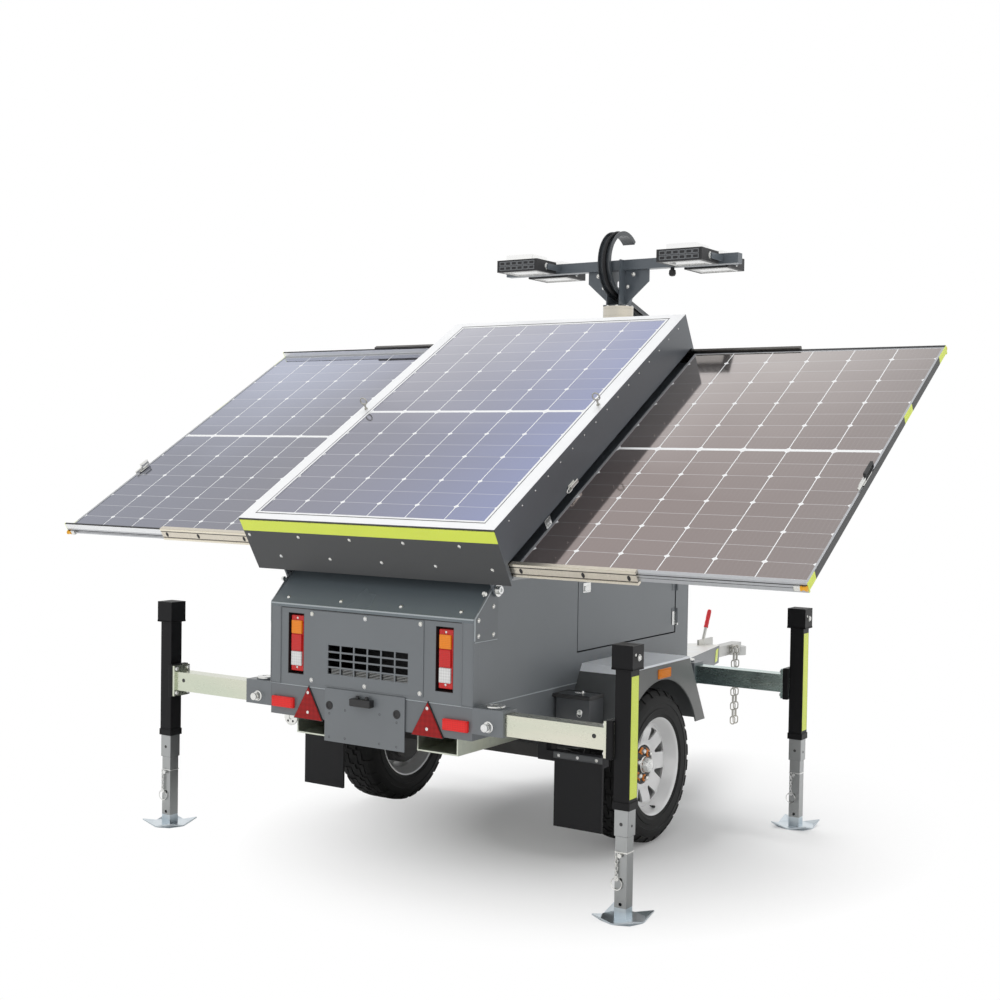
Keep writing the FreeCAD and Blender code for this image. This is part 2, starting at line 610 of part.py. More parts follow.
# Wheels: a tyre, and a rim with windows between its spokes
WINDOWS = 8
TYRE_SIDES = 60
NUTS = 5
for side, tag in ((1, "right"), (-1, "left")):
    crown = size.tyre_wide / 2
    bead = size.rim_wide / 2
    half_profile = [(bead, size.rim_radius), (crown - size.rim_wall, size.rim_radius + size.shoulder_drop),
                    (crown, size.rim_radius + size.shoulder_drop * 2),
                    (crown - size.trim_thick, size.tyre_radius - size.shoulder_wide),
                    (crown - size.shoulder_wide, size.tyre_radius - size.rim_wall),
                    (crown - size.shoulder_wide * 2, size.tyre_radius)]
    stations = [(-x, radius) for x, radius in half_profile] + half_profile[::-1]
    turn = 180 / TYRE_SIDES
    hoops = [ring_polygon("tyre_hoop", TYRE_SIDES, (x + size.tyre_x * side, size.wheel_y, axle_z), radius,
                          "X", turn) for x, radius in stations]
    left = size.tyre_x * side - bead
    tyre = cut("tyre_solid", loft("tyre_form", hoops),
               [cylinder("tyre_bore", "X", (left, size.wheel_y, axle_z), bead * 2, size.bead_radius)])
    keep(tyre, f"tyre_{tag}")
    rim = Solid("rim_body")
    disc = size.disc_x - size.tyre_x
    lip = size.rim_wall
    barrel = size.bead_radius - lip
    edge = bead + lip
    rim.revolve("XY", "X", [(-edge, size.bead_radius), (-edge, size.rim_radius),
                            (-edge - lip, size.rim_radius),
                            (-edge - lip, barrel), (edge + lip, barrel), (edge + lip, size.rim_radius),
                            (edge, size.rim_radius), (edge, size.bead_radius)])
    bore = size.hub_radius + size.hub_play
    rim.revolve("XY", "X", [(disc, bore), (disc + size.disc_thick, bore), (disc + size.disc_thick, barrel),
                            (disc, barrel)])
    spoke_low, spoke_high = size.hub_radius * 2.4, barrel - size.shoulder_drop
    narrow, broad = size.hub_radius * 0.6, size.hub_radius * 0.9
    window = rim.pocket("YZ", disc, size.disc_thick, [[(-narrow, spoke_low), (narrow, spoke_low),
                                                       (broad, spoke_high), (-broad, spoke_high)]])
    rim.around(window, "X", WINDOWS)
    stud = rim.pad("YZ", disc + size.disc_thick, size.nut_tall,
                   [hexagon(ZERO, size.nut_circle / 2, size.nut_radius)])
    rim.around(stud, "X", NUTS)
    cap_x = disc + size.disc_thick
    rim.pad("YZ", cap_x + size.cap_plate, size.cap_plate, circles=[((0, 0), size.hub_radius + size.rim_wall)])
    rim.pad("YZ", cap_x, size.cap_plate, circles=[((0, 0), size.hub_radius + size.rim_wall), ((0, 0), bore)])
    rim.pad("YZ", cap_x + size.cap_plate * 2, size.cap_long, circles=[((0, 0), size.cap_radius)])
    if side < 0:
        rim.body.Label = "rim_half"
        turned = mirror("rim_mirrored", rim.body)
        place(rim.body, (size.tyre_x, size.wheel_y, axle_z))
        keep(turned, "rim_left")
    else:
        place(rim.body, (size.tyre_x, size.wheel_y, axle_z))
        keep(rim, "rim_right")

# Fenders with their side skirts, cut to an arch over the tyre
fenders = []
for side in (1, -1):
    left, right = span(side, half, size.fender_x)
    top = size.fender_top
    thick = size.fender_wall
    fender = Solid("fender")
    slope = size.fender_slope
    rear_foot, front_foot = ((size.fender_rear_y - slope, size.fender_tip),
                             (size.fender_front_y + slope, size.fender_tip))
    rear_top, front_top = (size.fender_rear_y, top), (size.fender_front_y, top)
    fender.pad("YZ", left, right - left,
               [[rear_foot, rear_top, front_top, front_foot,
                 (size.fender_front_y + slope - thick, size.fender_tip),
                 (size.fender_front_y - thick / 2, top - thick),
                 (size.fender_rear_y + thick / 2, top - thick),
                 (size.fender_rear_y - slope + thick, size.fender_tip)]])
    left, right = span(side, size.fender_x - thick, size.fender_x)
    fender.pad("YZ", left, thick, [[rear_foot, front_foot, front_top, rear_top]])
    fender.pocket("YZ", left, thick, circles=[((size.wheel_y, axle_z), size.skirt_arch)])
    fenders.append(fender.body)
keep(group("fender_pair", fenders), "fenders")

# Mud flaps on brackets that reach out from the chassis
flaps = []
flap_top = size.flap_low + size.flap_tall
bracket_y = size.flap_y + size.flap_thick
for side in (1, -1):
    left, right = span(side, size.flap_x - size.flap_wide / 2, size.flap_x + size.flap_wide / 2)
    sheet_of_rubber = box("flap", (left, size.flap_y, size.flap_low), (right, bracket_y, flap_top))
    left, right = span(side, half - size.bracket_tall, size.flap_x + size.flap_wide / 2)
    bar = box("flap_bar", (left, bracket_y, flap_top - size.bracket_tall),
              (right, bracket_y + size.bracket_tall, flap_top))
    left, right = span(side, half - size.bracket_tall, half)
    post = box("flap_post", (left, bracket_y, flap_top),
               (right, bracket_y + size.bracket_tall, size.chassis_low))
    flaps.append(fuse("flap_set", [sheet_of_rubber, bar, post]))
keep(group("flap_pair", flaps), "mud_flaps")

# Stow box beside the chassis, in front of the right mud flap
left, right = size.chassis_half, size.box_x + size.box_wide / 2
stow = [box("stow", (size.box_x - size.box_wide / 2, size.box_y, size.box_low),
            (right, size.box_y + size.box_long, size.box_low + size.box_tall)),
        box("stow_lid", (size.box_x - size.box_wide / 2 - size.lid_lip, size.box_y - size.lid_lip,
                         size.box_low + size.box_tall),
            (right + size.lid_lip, size.box_y + size.box_long + size.lid_lip,
             size.box_low + size.box_tall + size.lid_thick)),
        box("stow_strap", (left, size.box_y + size.box_long / 4, size.box_low + size.box_tall / 4),
            (size.box_x - size.box_wide / 2, size.box_y + size.box_long * 0.75,
             size.box_low + size.box_tall * 0.7))]
keep(fuse("stow_set", stow), "stow_box")

# Drawbar: an A-frame under a plate, pitched down towards the coupling
drawbar = Solid("drawbar_body")
foot, tip = size.tongue_foot, size.tongue_tip
slack = size.tongue_wide
plate = [(-foot, 0), (foot, 0), (tip, size.tongue_long), (-tip, size.tongue_long)]
inside = [(slack - foot, 0), (foot - slack, 0), (size.tongue_nose, size.tongue_long - slack * 2),
          (-size.tongue_nose, size.tongue_long - slack * 2)]
drawbar.pad("XY", -size.tongue_plate, size.tongue_plate, [plate])
drawbar.pad("XY", -size.tongue_rail, size.tongue_rail - size.tongue_plate, [plate])
drawbar.pocket("XY", -size.tongue_rail, size.tongue_rail - size.tongue_plate, [inside])
place(drawbar.body, (0, front_y, size.tongue_high), (1, 0, 0), -size.tongue_pitch)
beam_space = box("front_beam_space", (-foot, front_y - size.tongue_rail, size.chassis_low - size.tongue_rail),
                 (foot, front_y, roof_z))
tongue = keep(cut("drawbar_set", drawbar.body, [beam_space]), "drawbar")

# Shelf and clamp that carry the mast in front of the cabinet
shelf_low = size.mast_low - size.shelf_thick
reach = size.mast_y + size.clamp_radius
shelf = [box("shelf", (-size.clamp_radius, front_y, shelf_low), (size.clamp_radius, reach, size.mast_low))]
drop = (reach - front_y) * sine(size.tongue_pitch) / cosine(size.tongue_pitch)
for start in (-size.clamp_radius, size.clamp_radius - size.shelf_thick):
    web = Solid("shelf_web")
    web.pad("YZ", start, size.shelf_thick, [[(front_y, size.tongue_high), (reach, size.tongue_high - drop),
                                             (reach, shelf_low), (front_y, shelf_low)]])
    shelf.append(web.body)
clamp = cut("clamp", fuse("clamp_skin", [
    cylinder("clamp_ring", "Z", (0, size.mast_y, size.clamp_z), size.clamp_tall, size.clamp_radius),
    box("clamp_arm", (-size.clamp_arm_half, front_y, size.clamp_z),
        (size.clamp_arm_half, size.mast_y, size.clamp_z + size.clamp_tall))]),
    [cylinder("clamp_bore", "Z", (0, size.mast_y, size.clamp_z), size.clamp_tall, size.mast_outer / 2)])
keep(group("mast_carrier_set", [fuse("shelf_set", shelf), clamp]), "mast_carrier")

# Coupling: shank, ball housing and hand brake lever
end_y = front_y + size.tongue_long * cosine(size.tongue_pitch)
end_z = size.tongue_high - size.tongue_long * sine(size.tongue_pitch)
shank_half = size.shank_side / 2
shank_low = end_z - size.tongue_rail / 2 - shank_half
size.ball_y = end_y + size.ball_run
size.ball_z = end_z - size.ball_drop
size.chain_y = end_y + size.chain_run
size.chain_z = end_z - size.chain_drop
housing_low = size.ball_z - size.mouth_deep
coupling = [box("shank", (-shank_half, end_y, shank_low),
                (shank_half, size.ball_y - size.ball_radius * 1.2, shank_low + size.shank_side)),
            cylinder("ball_housing", "Z", (0, size.ball_y, housing_low), size.house_tall,
                     size.ball_radius + size.house_wall),
            box("neck", (size.trim_thick - shank_half, size.ball_y - size.ball_radius * 3.2, size.ball_z - 8),
                (shank_half - size.trim_thick, size.ball_y, size.ball_z + size.shank_side / 2))]
mouth = size.ball_radius + size.ball_play
socket = [cylinder("ball_mouth", "Z", (0, size.ball_y, housing_low), size.mouth_deep, mouth)]
ball = doc.addObject("Part::Sphere", name_for("ball_space"))
bind(ball, "Radius", mouth)
place(ball, (0, size.ball_y, size.ball_z))
lever = cylinder("brake_lever", "Z", (0, 0, 0), size.lever_long, size.lever_radius)
place(lever, (0, end_y - size.lever_back, end_z - size.trim_thick), (1, 0, 0), -size.lever_lean)
quadrant = box("quadrant", (-size.channel_wall, end_y - size.lever_back * 1.4, end_z - size.shank_side / 2),
               (size.channel_wall, end_y + size.shank_side / 2, end_z + size.bracket_tall))
hooks = []
for strand in (-1, 1):
    pin_z = size.chain_z + size.link_long / 2 - size.link_wire - size.link_play - size.chain_pin
    hooks.append(cylinder("chain_pin", "X", (shank_half, size.chain_y + size.chain_side * strand, pin_z),
                          size.chain_x - shank_half + size.link_wire * 1.5, size.chain_pin))
coupling_skin = fuse("coupling_skin", coupling + [lever, quadrant] + hooks)
keep(cut("coupling_set", coupling_skin, socket + [ball, tongue]),
     "coupling")

# Safety chain: two strands of links that hang from pins beside the shank, every second link turned
LINKS = 11
links = []
pitch = size.link_long - size.link_wire * 2 - size.link_play


def link_outline(u, v, wide, long, shoulder):
    """Six corners at each end of a link, for its outer or its inner edge."""
    half_wide, half_long = wide / 2, long / 2
    right = [(u + shoulder, v - half_long), (u + half_wide, v - half_long + half_wide - shoulder * 0.5),
             (u + half_wide, v + half_long - half_wide + shoulder * 0.5), (u + shoulder, v + half_long)]
    return right + [(u * 2 - x, y) for x, y in right[::-1]]


for strand in (-1, 1):
    for number in range(LINKS):
        link = Solid("link")
        middle = size.chain_y + size.chain_side * strand
        level = size.chain_z - pitch * number
        turned = number % 2 == 1
        plane, along, across = ("XZ", size.chain_x, middle) if turned else ("YZ", middle, size.chain_x)
        link.pad(plane, across - size.link_wire / 2, size.link_wire,
                 [link_outline(along, level, size.link_wide, size.link_long, size.link_wire),
                  link_outline(along, level, size.link_wide - size.link_wire * 2,
                               size.link_long - size.link_wire * 2, size.link_wire / 2 + size.link_play * 2)])
        links.append(link.body)
keep(group("chain_set", links), "safety_chain")

# Outriggers: a socket in the chassis, a sliding arm with its leg tube, and the leg that drops from it
CORNERS = (("rear_right", 1, size.leg_rear_y), ("rear_left", -1, size.leg_rear_y),
           ("front_right", 1, size.leg_front_y), ("front_left", -1, size.leg_front_y))
sockets = []
legs_made = []
HOLES = 3
for tag, side, leg_y in CORNERS:
    arm_low = size.arm_z - size.arm_tall / 2
    arm_high = size.arm_z + size.arm_tall / 2
    arm_half = size.arm_wide / 2
    play = size.slide_play
    left, right = span(side, size.socket_inner_x, size.socket_outer_x)
    block_top = size.arm_z + socket_high + size.block_wall
    skin = box("socket_skin", (left, leg_y - socket_half, size.arm_z - socket_high),
               (right, leg_y + socket_half, size.arm_z + socket_high))
    near, far = span(side, size.chassis_half, size.socket_outer_x)
    block = box("socket_block", (near, leg_y - socket_half - size.block_wall, size.arm_z - socket_high),
                (far, leg_y + socket_half + size.block_wall, block_top))
    disc = cylinder("socket_disc", "Z", (size.block_x * side, leg_y, block_top), size.disc_tall,
                    size.disc_radius)
    bore = box("socket_bore", (left - 1, leg_y - arm_half - play, arm_low - play),
               (right + 1, leg_y + arm_half + play, arm_high + play))
    sockets.append(cut("socket", fuse("socket_body", [skin, block, disc]), [bore]))

    left, right = span(side, size.arm_inner_x, size.arm_outer_x)
    tube = box("arm_skin", (left, leg_y - arm_half, arm_low), (right, leg_y + arm_half, arm_high))
    wall = size.arm_wall
    hole = box("arm_bore", (left - 1, leg_y - arm_half + wall, arm_low + wall),
               (right + 1, leg_y + arm_half - wall, arm_high - wall))
    leg_half = size.leg_side / 2
    left, right = span(side, size.arm_outer_x - size.flange_thick, size.arm_outer_x)
    flange_half = size.flange_wide / 2
    flange = box("arm_flange", (left, leg_y - flange_half, size.arm_z - size.flange_long / 2),
                 (right, leg_y + flange_half, size.arm_z + size.flange_long / 2))
    left, right = span(side, size.arm_outer_x, size.leg_x - leg_half)
    bolster = box("arm_bolster", (left, leg_y - leg_half, size.arm_z - size.flange_long / 2),
                  (right, leg_y + leg_half, size.arm_z + size.flange_long / 2))
    keep(fuse("arm", [cut("arm_tube", tube, [hole]), flange, bolster]), f"arm_{tag}")

    legs = Solid(f"leg_tube_{tag}_body")
    centre = size.leg_x * side
    inner_half = size.inner_side / 2 + play

    def square(reach):
        return rectangle(centre - reach, leg_y - reach, centre + reach, leg_y + reach)

    legs.pad("XY", size.leg_low, size.leg_top - size.leg_low, [square(leg_half)])
    legs.pad("XY", size.leg_top + size.cap_over - size.cap_tall, size.cap_tall, [square(size.cap_side / 2)])
    legs.pad("XY", size.sleeve_low, size.leg_low - size.sleeve_low, [square(size.sleeve_side / 2)])
    legs.pocket("XY", size.sleeve_low, size.leg_top - size.sleeve_low, [square(inner_half)])
    keep(legs, f"leg_tube_{tag}")

    drop = Solid(f"leg_{tag}_body")
    inner_half = size.inner_side / 2
    drop.pad("XY", size.foot_thick, size.inner_top - size.foot_thick, [square(inner_half)])
    drop.pocket("XY", size.foot_thick * 2, size.inner_top - size.foot_thick,
                [square(inner_half - size.inner_wall)])
    hole = drop.pocket("XZ", leg_y - inner_half, inner_half * 2,
                       [hexagon(centre, size.hole_low, size.hole_half)])
    drop.repeat(hole, "Z", size.hole_pitch * (HOLES - 1), HOLES)
    reach = size.foot_side / 2
    corner = reach * size.foot_corner
    shells = []
    for lift in (ZERO, size.foot_thick):
        shells.append(loft("foot_form", [
            ring_polygon("foot_ring", 8, (centre, leg_y, lift), size.foot_flat * 1.2, turn=0),
            ring_polygon("foot_ring", 8, (centre, leg_y, lift + size.foot_rise), corner, turn=0)]))
    over = box("foot_over", (centre - corner, leg_y - corner, size.foot_rise),
               (centre + corner, leg_y + corner, size.foot_rise + size.foot_thick))
    dish = cut("foot_dish", fuse("foot_block", [shells[0], over]), [shells[1]])
    square_foot = box("foot_square", (centre - reach, leg_y - reach, 0),
                      (centre + reach, leg_y + reach, size.foot_rise + size.foot_thick))
    foot = doc.addObject("Part::Common", name_for("foot_plate"))
    foot.Base = dish
    foot.Tool = square_foot
    legs_made.append(fuse("drop_leg", [drop.body, foot]))
    keep(legs_made[-1], f"leg_{tag}")
keep(group("socket_set", sockets), "outrigger_sockets")

# Telescopic mast: a fixed tube and four stages, each with a collar that guides the next one
STAGES = 4
stack = size.collar_tall + size.collar_gap
flange_low = size.mast_top - size.head_flange
step = (size.mast_wall + size.mast_gap) * 2
for stage in range(STAGES + 1):
    radius = (size.mast_outer - step * stage) / 2
    bore = radius - size.mast_wall
    guide = radius - size.mast_wall - size.mast_gap + size.mast_play
    low = size.mast_low + size.collar_gap * stage
    label = "mast_base" if stage == 0 else f"mast_stage_{stage}"
    mast = Solid(f"{label}_body")
    if stage < STAGES:
        high = flange_low - size.collar_gap - stack * (STAGES - 1 - stage)
        mast.pad("XY", low, high - low, circles=[((0, size.mast_y), radius), ((0, size.mast_y), bore)])
        mast.pad("XY", high - size.collar_tall, size.collar_tall,
                 circles=[((0, size.mast_y), size.collar_radius), ((0, size.mast_y), guide)])
    else:
        mast.pad("XY", low, flange_low - low, circles=[((0, size.mast_y), radius), ((0, size.mast_y), bore)])
        mast.pad("XY", flange_low, size.head_flange, circles=[((0, size.mast_y), size.collar_radius)])
    if stage > 0:
        shoe = radius + size.mast_gap - size.mast_play
        mast.pad("XY", low, size.pad_tall, circles=[((0, size.mast_y), shoe), ((0, size.mast_y), bore)])
    keep(mast, label)

# Lamp head: a cross bar on two gusset plates, bolted to the top flange of the mast
bar_half = size.bar_side / 2
bar_low = size.bar_z - bar_half
head = [box("lamp_bar", (-size.bar_half, size.mast_y - bar_half, bar_low),
            (size.bar_half, size.mast_y + bar_half, bar_low + size.bar_side)),
        box("head_foot", (-size.clamp_arm_half, size.mast_y - size.bar_side, size.mast_top),
            (size.clamp_arm_half, size.mast_y + size.bar_side, size.mast_top + size.shelf_thick))]
for side in (1, -1):
    left, right = span(side, size.guide_wide / 2, size.guide_wide / 2 + size.gusset_thick)
    cheek = Solid("cheek")
    rear, ahead = size.mast_y - size.gusset_deep, size.mast_y + size.gusset_deep
    cheek.pad("YZ", left, size.gusset_thick,
              [[(rear, size.mast_top), (ahead, size.mast_top),
                (ahead + size.gusset_deep, bar_low - size.bar_side * 0.8),
                (ahead + size.gusset_deep, bar_low + size.bar_side / 2), (ahead, bar_low + size.bar_side),
                (rear, bar_low + size.bar_side)]])
    cheek.pocket("YZ", left, size.gusset_thick,
                 [hexagon(ahead + size.trim_thick, bar_low - size.bar_side * 1.2, size.lens_inset)])
    head.append(cheek.body)
    wing = Solid("wing")
    near, far = size.guide_wide / 2 * side, (size.guide_wide / 2 + size.gusset_half) * side
    wing.pad("XZ", size.mast_y - size.gusset_thick / 2, size.gusset_thick,
             [[(near, size.mast_top), (far, bar_low - size.clamp_arm_half), (far, bar_low), (near, bar_low)]])
    head.append(wing.body)

# Cable guide: a channel bent round in the plane of the mast, open outwards
GUIDE_START, GUIDE_END = 50, 254


def guide_path(radius, start, end, run):
    """The channel's line: an arc about the guide's centre, then a straight tangent run."""
    centre = FreeCAD.Vector(0, size.guide_y.value, size.guide_z.value)

    def spot(angle):
        turn = math.radians(angle)
        return centre + FreeCAD.Vector(0, radius * math.cos(turn), radius * math.sin(turn))

    arc = Part.Arc(spot(start), spot((start + end) / 2), spot(end)).toShape()
    turn = math.radians(end)
    tangent = FreeCAD.Vector(0, -math.sin(turn), math.cos(turn))
    return Part.Wire([arc, Part.LineSegment(spot(end), spot(end) + tangent * run).toShape()])


def guide_section(inner, outer, half_wide, start):
    """A rectangle across the path at its start, between two radii."""
    turn = math.radians(start)
    out = FreeCAD.Vector(0, math.cos(turn), math.sin(turn))
    centre = FreeCAD.Vector(0, size.guide_y.value, size.guide_z.value)
    across = FreeCAD.Vector(half_wide, 0, 0)
    ring = [centre + out * inner - across, centre + out * inner + across,
            centre + out * outer + across, centre + out * outer - across]
    return Part.makePolygon(ring + ring[:1])


radius = size.guide_radius.value
deep = size.guide_lip.value
path = guide_path(radius, GUIDE_START, GUIDE_END, size.guide_run.value)
half_guide, wall = size.guide_wide.value / 2, size.guide_wall.value
outer_ring = guide_section(radius - wall, radius + deep, half_guide, GUIDE_START)
inner_ring = guide_section(radius, radius + deep + 1, half_guide - wall, GUIDE_START)
outer_sweep = path.makePipeShell([outer_ring], True, False)
inner_sweep = path.makePipeShell([inner_ring], True, False)
channel = doc.addObject("Part::Feature", "cable_guide_body")
channel.Shape = outer_sweep.cut(inner_sweep)
keep(channel, "cable_guide")

# Power cable, lying in the guide along its whole length
cable_path = guide_path(radius + size.cable_radius.value, GUIDE_START, GUIDE_END, size.guide_run.value)
turn = math.radians(GUIDE_START)
start_point = cable_path.Vertexes[0].Point
lift, across = FreeCAD.Vector(0, math.cos(turn), math.sin(turn)), FreeCAD.Vector(1, 0, 0)
around = [start_point + (lift * math.cos(math.radians(60 * k)) + across * math.sin(math.radians(60 * k)))
          * size.cable_radius.value for k in range(7)]
cable_face = Part.makePolygon(around)
cable = doc.addObject("Part::Feature", "mast_cable_body")
cable.Shape = cable_path.makePipeShell([cable_face], True, False)
keep(cable, "mast_cable")

# Four floodlights, each tilting in a fork at the end of the cross bar
LIGHTS = (("rear_right", 1, -1), ("front_right", 1, 1), ("rear_left", -1, -1), ("front_left", -1, 1))
for tag, side, ahead in LIGHTS:
    middle = size.light_x * side
    light_y = size.mast_y + size.light_y * ahead
    wide, deep = size.light_wide / 2, size.light_deep / 2
    low = size.bar_z - size.light_tall / 2
    housing = Solid(f"light_{tag}_body")
    housing.pad("XY", low, size.light_tall,
                [rectangle(middle - wide, light_y - deep, middle + wide, light_y + deep)])
    lens_wide, lens_deep = wide - size.lens_inset, deep - size.lens_inset
    housing.pocket("XY", low, size.lens_deep, [rectangle(middle - lens_wide, light_y - lens_deep,
                                            middle + lens_wide, light_y + lens_deep)])
    keep(housing, f"light_{tag}")
    for edge in (-1, 1):
        start = middle + (wide + size.light_gap) * edge
        left = start if edge > 0 else start - size.bracket_thick
        reach_low = size.mast_y + bar_half * ahead if ahead > 0 else light_y
        reach_high = light_y if ahead > 0 else size.mast_y - bar_half
        head.append(box("fork_side", (left, reach_low, size.bar_z - size.fork_tall / 2),
                        (left + size.bracket_thick, reach_high, size.bar_z + size.fork_tall / 2)))
        near = middle + wide * edge
        head.append(cylinder("tilt_pin", "X", (near if edge > 0 else start, light_y, size.bar_z),
                             size.light_gap, size.tilt_radius))
keep(fuse("head_set", head), "lamp_head")

# Solar deck: modelled flat about its hinge pin, then tilted as a whole
TILTED = ((0, size.pin_y, size.pin_z), (1, 0, 0), size.deck_tilt)
deck_top = size.deck_low + size.deck_tall
deck_front = size.deck_long - size.deck_rear
module_front = size.deck_long / 2 - size.deck_rear + size.module_long / 2
module_rear = module_front - size.module_long
module_half = size.module_wide / 2
tray = Solid("deck_tray_body")
deck_half = size.deck_half
tray.pad("XY", size.deck_low, size.deck_tall, [rectangle(-deck_half, -size.deck_rear, deck_half, deck_front)])
tray.pocket("XY", size.deck_low + size.deck_wall, size.deck_tall - size.deck_wall * 2,
            [rectangle(size.deck_wall - deck_half, size.deck_wall - size.deck_rear,
                       deck_half - size.deck_wall, deck_front - size.deck_wall)])
tray.pocket("XY", deck_top - size.deck_wall, size.deck_wall,
            [rectangle(-module_half, module_rear, module_half, module_front)])
for start, rail_z, glass_z in ((deck_half - size.deck_wall, size.rail_right, size.right_glass),
                               (-deck_half, size.rail_left, size.left_glass)):
    tray.pocket("YZ", start, size.deck_wall,
                [rectangle(module_rear - size.rail_wide - size.slot_play, glass_z - size.slot_deep,
                           module_front + size.rail_wide + size.slot_play,
                           rail_z + size.rail_tall / 2 + size.slot_play)])
for rail_z in (size.rail_right, size.rail_left):
    for low, high in ((size.deck_wall - size.deck_rear, module_rear - size.rail_wide - size.rail_play),
                      (module_front + size.rail_wide + size.rail_play, deck_front - size.deck_wall)):
        tray.pad("XY", rail_z - size.bar_tall / 2, size.bar_tall,
                 [rectangle(size.deck_wall - deck_half, low, deck_half - size.deck_wall, high)])


def module(label, middle, top):
    """A framed panel of cells: the frame and, apart from it, the glass."""
    left, right = middle - module_half, middle + module_half
    low = top - size.module_thick
    lip = size.frame_lip
    frame = Solid(f"{label}_frame")
    frame.pad("XY", low, size.module_thick, [rectangle(left, module_rear, right, module_front)])
    frame.pocket("XY", low, size.module_thick, [rectangle(left + lip, module_rear + lip, right - lip,
                                                         module_front - lip)])
    glass = Solid(f"{label}_glass")
    glass.pad("XY", top - size.glass_drop - size.glass_thick, size.glass_thick,
              [rectangle(left + lip, module_rear + lip, right - lip,
                                                             module_front - lip)])
    return frame, glass


frame, glass = module("centre", ZERO, deck_top)
keep(place(frame.body, *TILTED), "module_frame_centre")
keep(place(glass.body, *TILTED), "module_glass_centre")

# Side drawers: a module between two telescopic slides, drawn out to its full width
for tag, side, top, rail_z in (("right", 1, size.right_glass, size.rail_right),
                               ("left", -1, size.left_glass, size.rail_left)):
    middle = (size.drawer_edge - module_half) * side
    frame, glass = module(f"drawer_{tag}", middle, top)
    bars = [frame.body]
    mids = []
    fixed = []
    left, right = span(side, size.drawer_edge - size.module_wide, size.drawer_edge)
    for end, edge in ((-1, module_rear), (1, module_front)):
        inner_a, inner_b = (edge - size.bar_wide, edge) if end < 0 else (edge, edge + size.bar_wide)
        bars.append(box("inner_bar", (left, inner_a, rail_z - size.bar_tall / 2),
                        (right, inner_b, rail_z + size.bar_tall / 2)))
        near, far = span(side, size.mid_reach - size.module_wide, size.mid_reach)
        play = size.rail_play
        outer_a, outer_b = (edge + 1, edge + size.rail_wide)
        if end < 0:
            outer_a, outer_b = (edge - size.rail_wide, edge - 1)
        skin = box("mid_skin", (near, outer_a, rail_z - size.rail_tall / 2),
                   (far, outer_b, rail_z + size.rail_tall / 2))
        slot_a, slot_b = ((edge - size.bar_wide - 1, edge) if end < 0 else (edge, edge + size.bar_wide + 1))
        slot = box("mid_slot", (near - 1, slot_a, rail_z - size.bar_tall / 2 - play),
                   (far + 1, slot_b, rail_z + size.bar_tall / 2 + play))
        mids.append(cut("mid_rail", skin, [slot]))
    drawer = place(fuse(f"drawer_{tag}_set", bars), *TILTED)
    keep(drawer, f"module_frame_{tag}")
    keep(place(glass.body, *TILTED), f"module_glass_{tag}")
    keep(place(group(f"mid_rails_{tag}_set", mids), *TILTED), f"mid_rails_{tag}")

# Hinge ears on the deck, and the plates with pins on the cabinet that carry them
ears = []
plates = []
for side in (1, -1):
    left, right = span(side, size.ear_x, size.ear_x + size.ear_thick)
    ear = fuse("ear_skin", [
        cylinder("ear_round", "X", (left, 0, 0), size.ear_thick, size.ear_radius),
        box("ear_web", (left, -size.ear_radius, 0), (right, size.ear_radius, size.deck_low))])
    ears.append(cut("ear", ear, [cylinder("ear_bore", "X", (left, 0, 0), size.ear_thick,
                                          size.pin_radius + size.pin_play)]))
    hinge = Solid("side_plate")
    low, high = span(side, half, half + size.side_plate)
    rear = size.rear_y
    hinge.pad("YZ", low, size.side_plate,
              [[(rear, hood_z - size.plate_drop_low),
                (size.pin_y + size.plate_reach, hood_z - size.plate_drop_low),
                (size.pin_y + size.plate_reach, size.pin_z + size.lid_thick),
                (size.pin_y - size.plate_reach, size.pin_z + size.lid_thick), (rear, hood_z)]])
    left, right = span(side, half, size.ear_x + size.ear_thick + size.lid_thick)
    pin = cylinder("hinge_pin", "X", (left, size.pin_y, size.pin_z), right - left, size.pin_radius)
    plates.append(fuse("hinge_plate", [hinge.body, pin]))
for side in (1, -1):
    for edge in (-1, 1):
        start = size.ram_x * side + (size.eye_wide / 2 + size.ram_play) * edge
        left = start if edge > 0 else start - size.ram_lug
        ears.append(box("deck_lug",
                        (left, size.ram_eye - size.lug_reach, size.ram_eye_high - size.plate_reach),
                        (left + size.ram_lug, size.ram_eye + size.lug_reach, size.deck_low)))
keep(place(fuse("tray_set", [tray.body] + ears), *TILTED), "deck_tray")

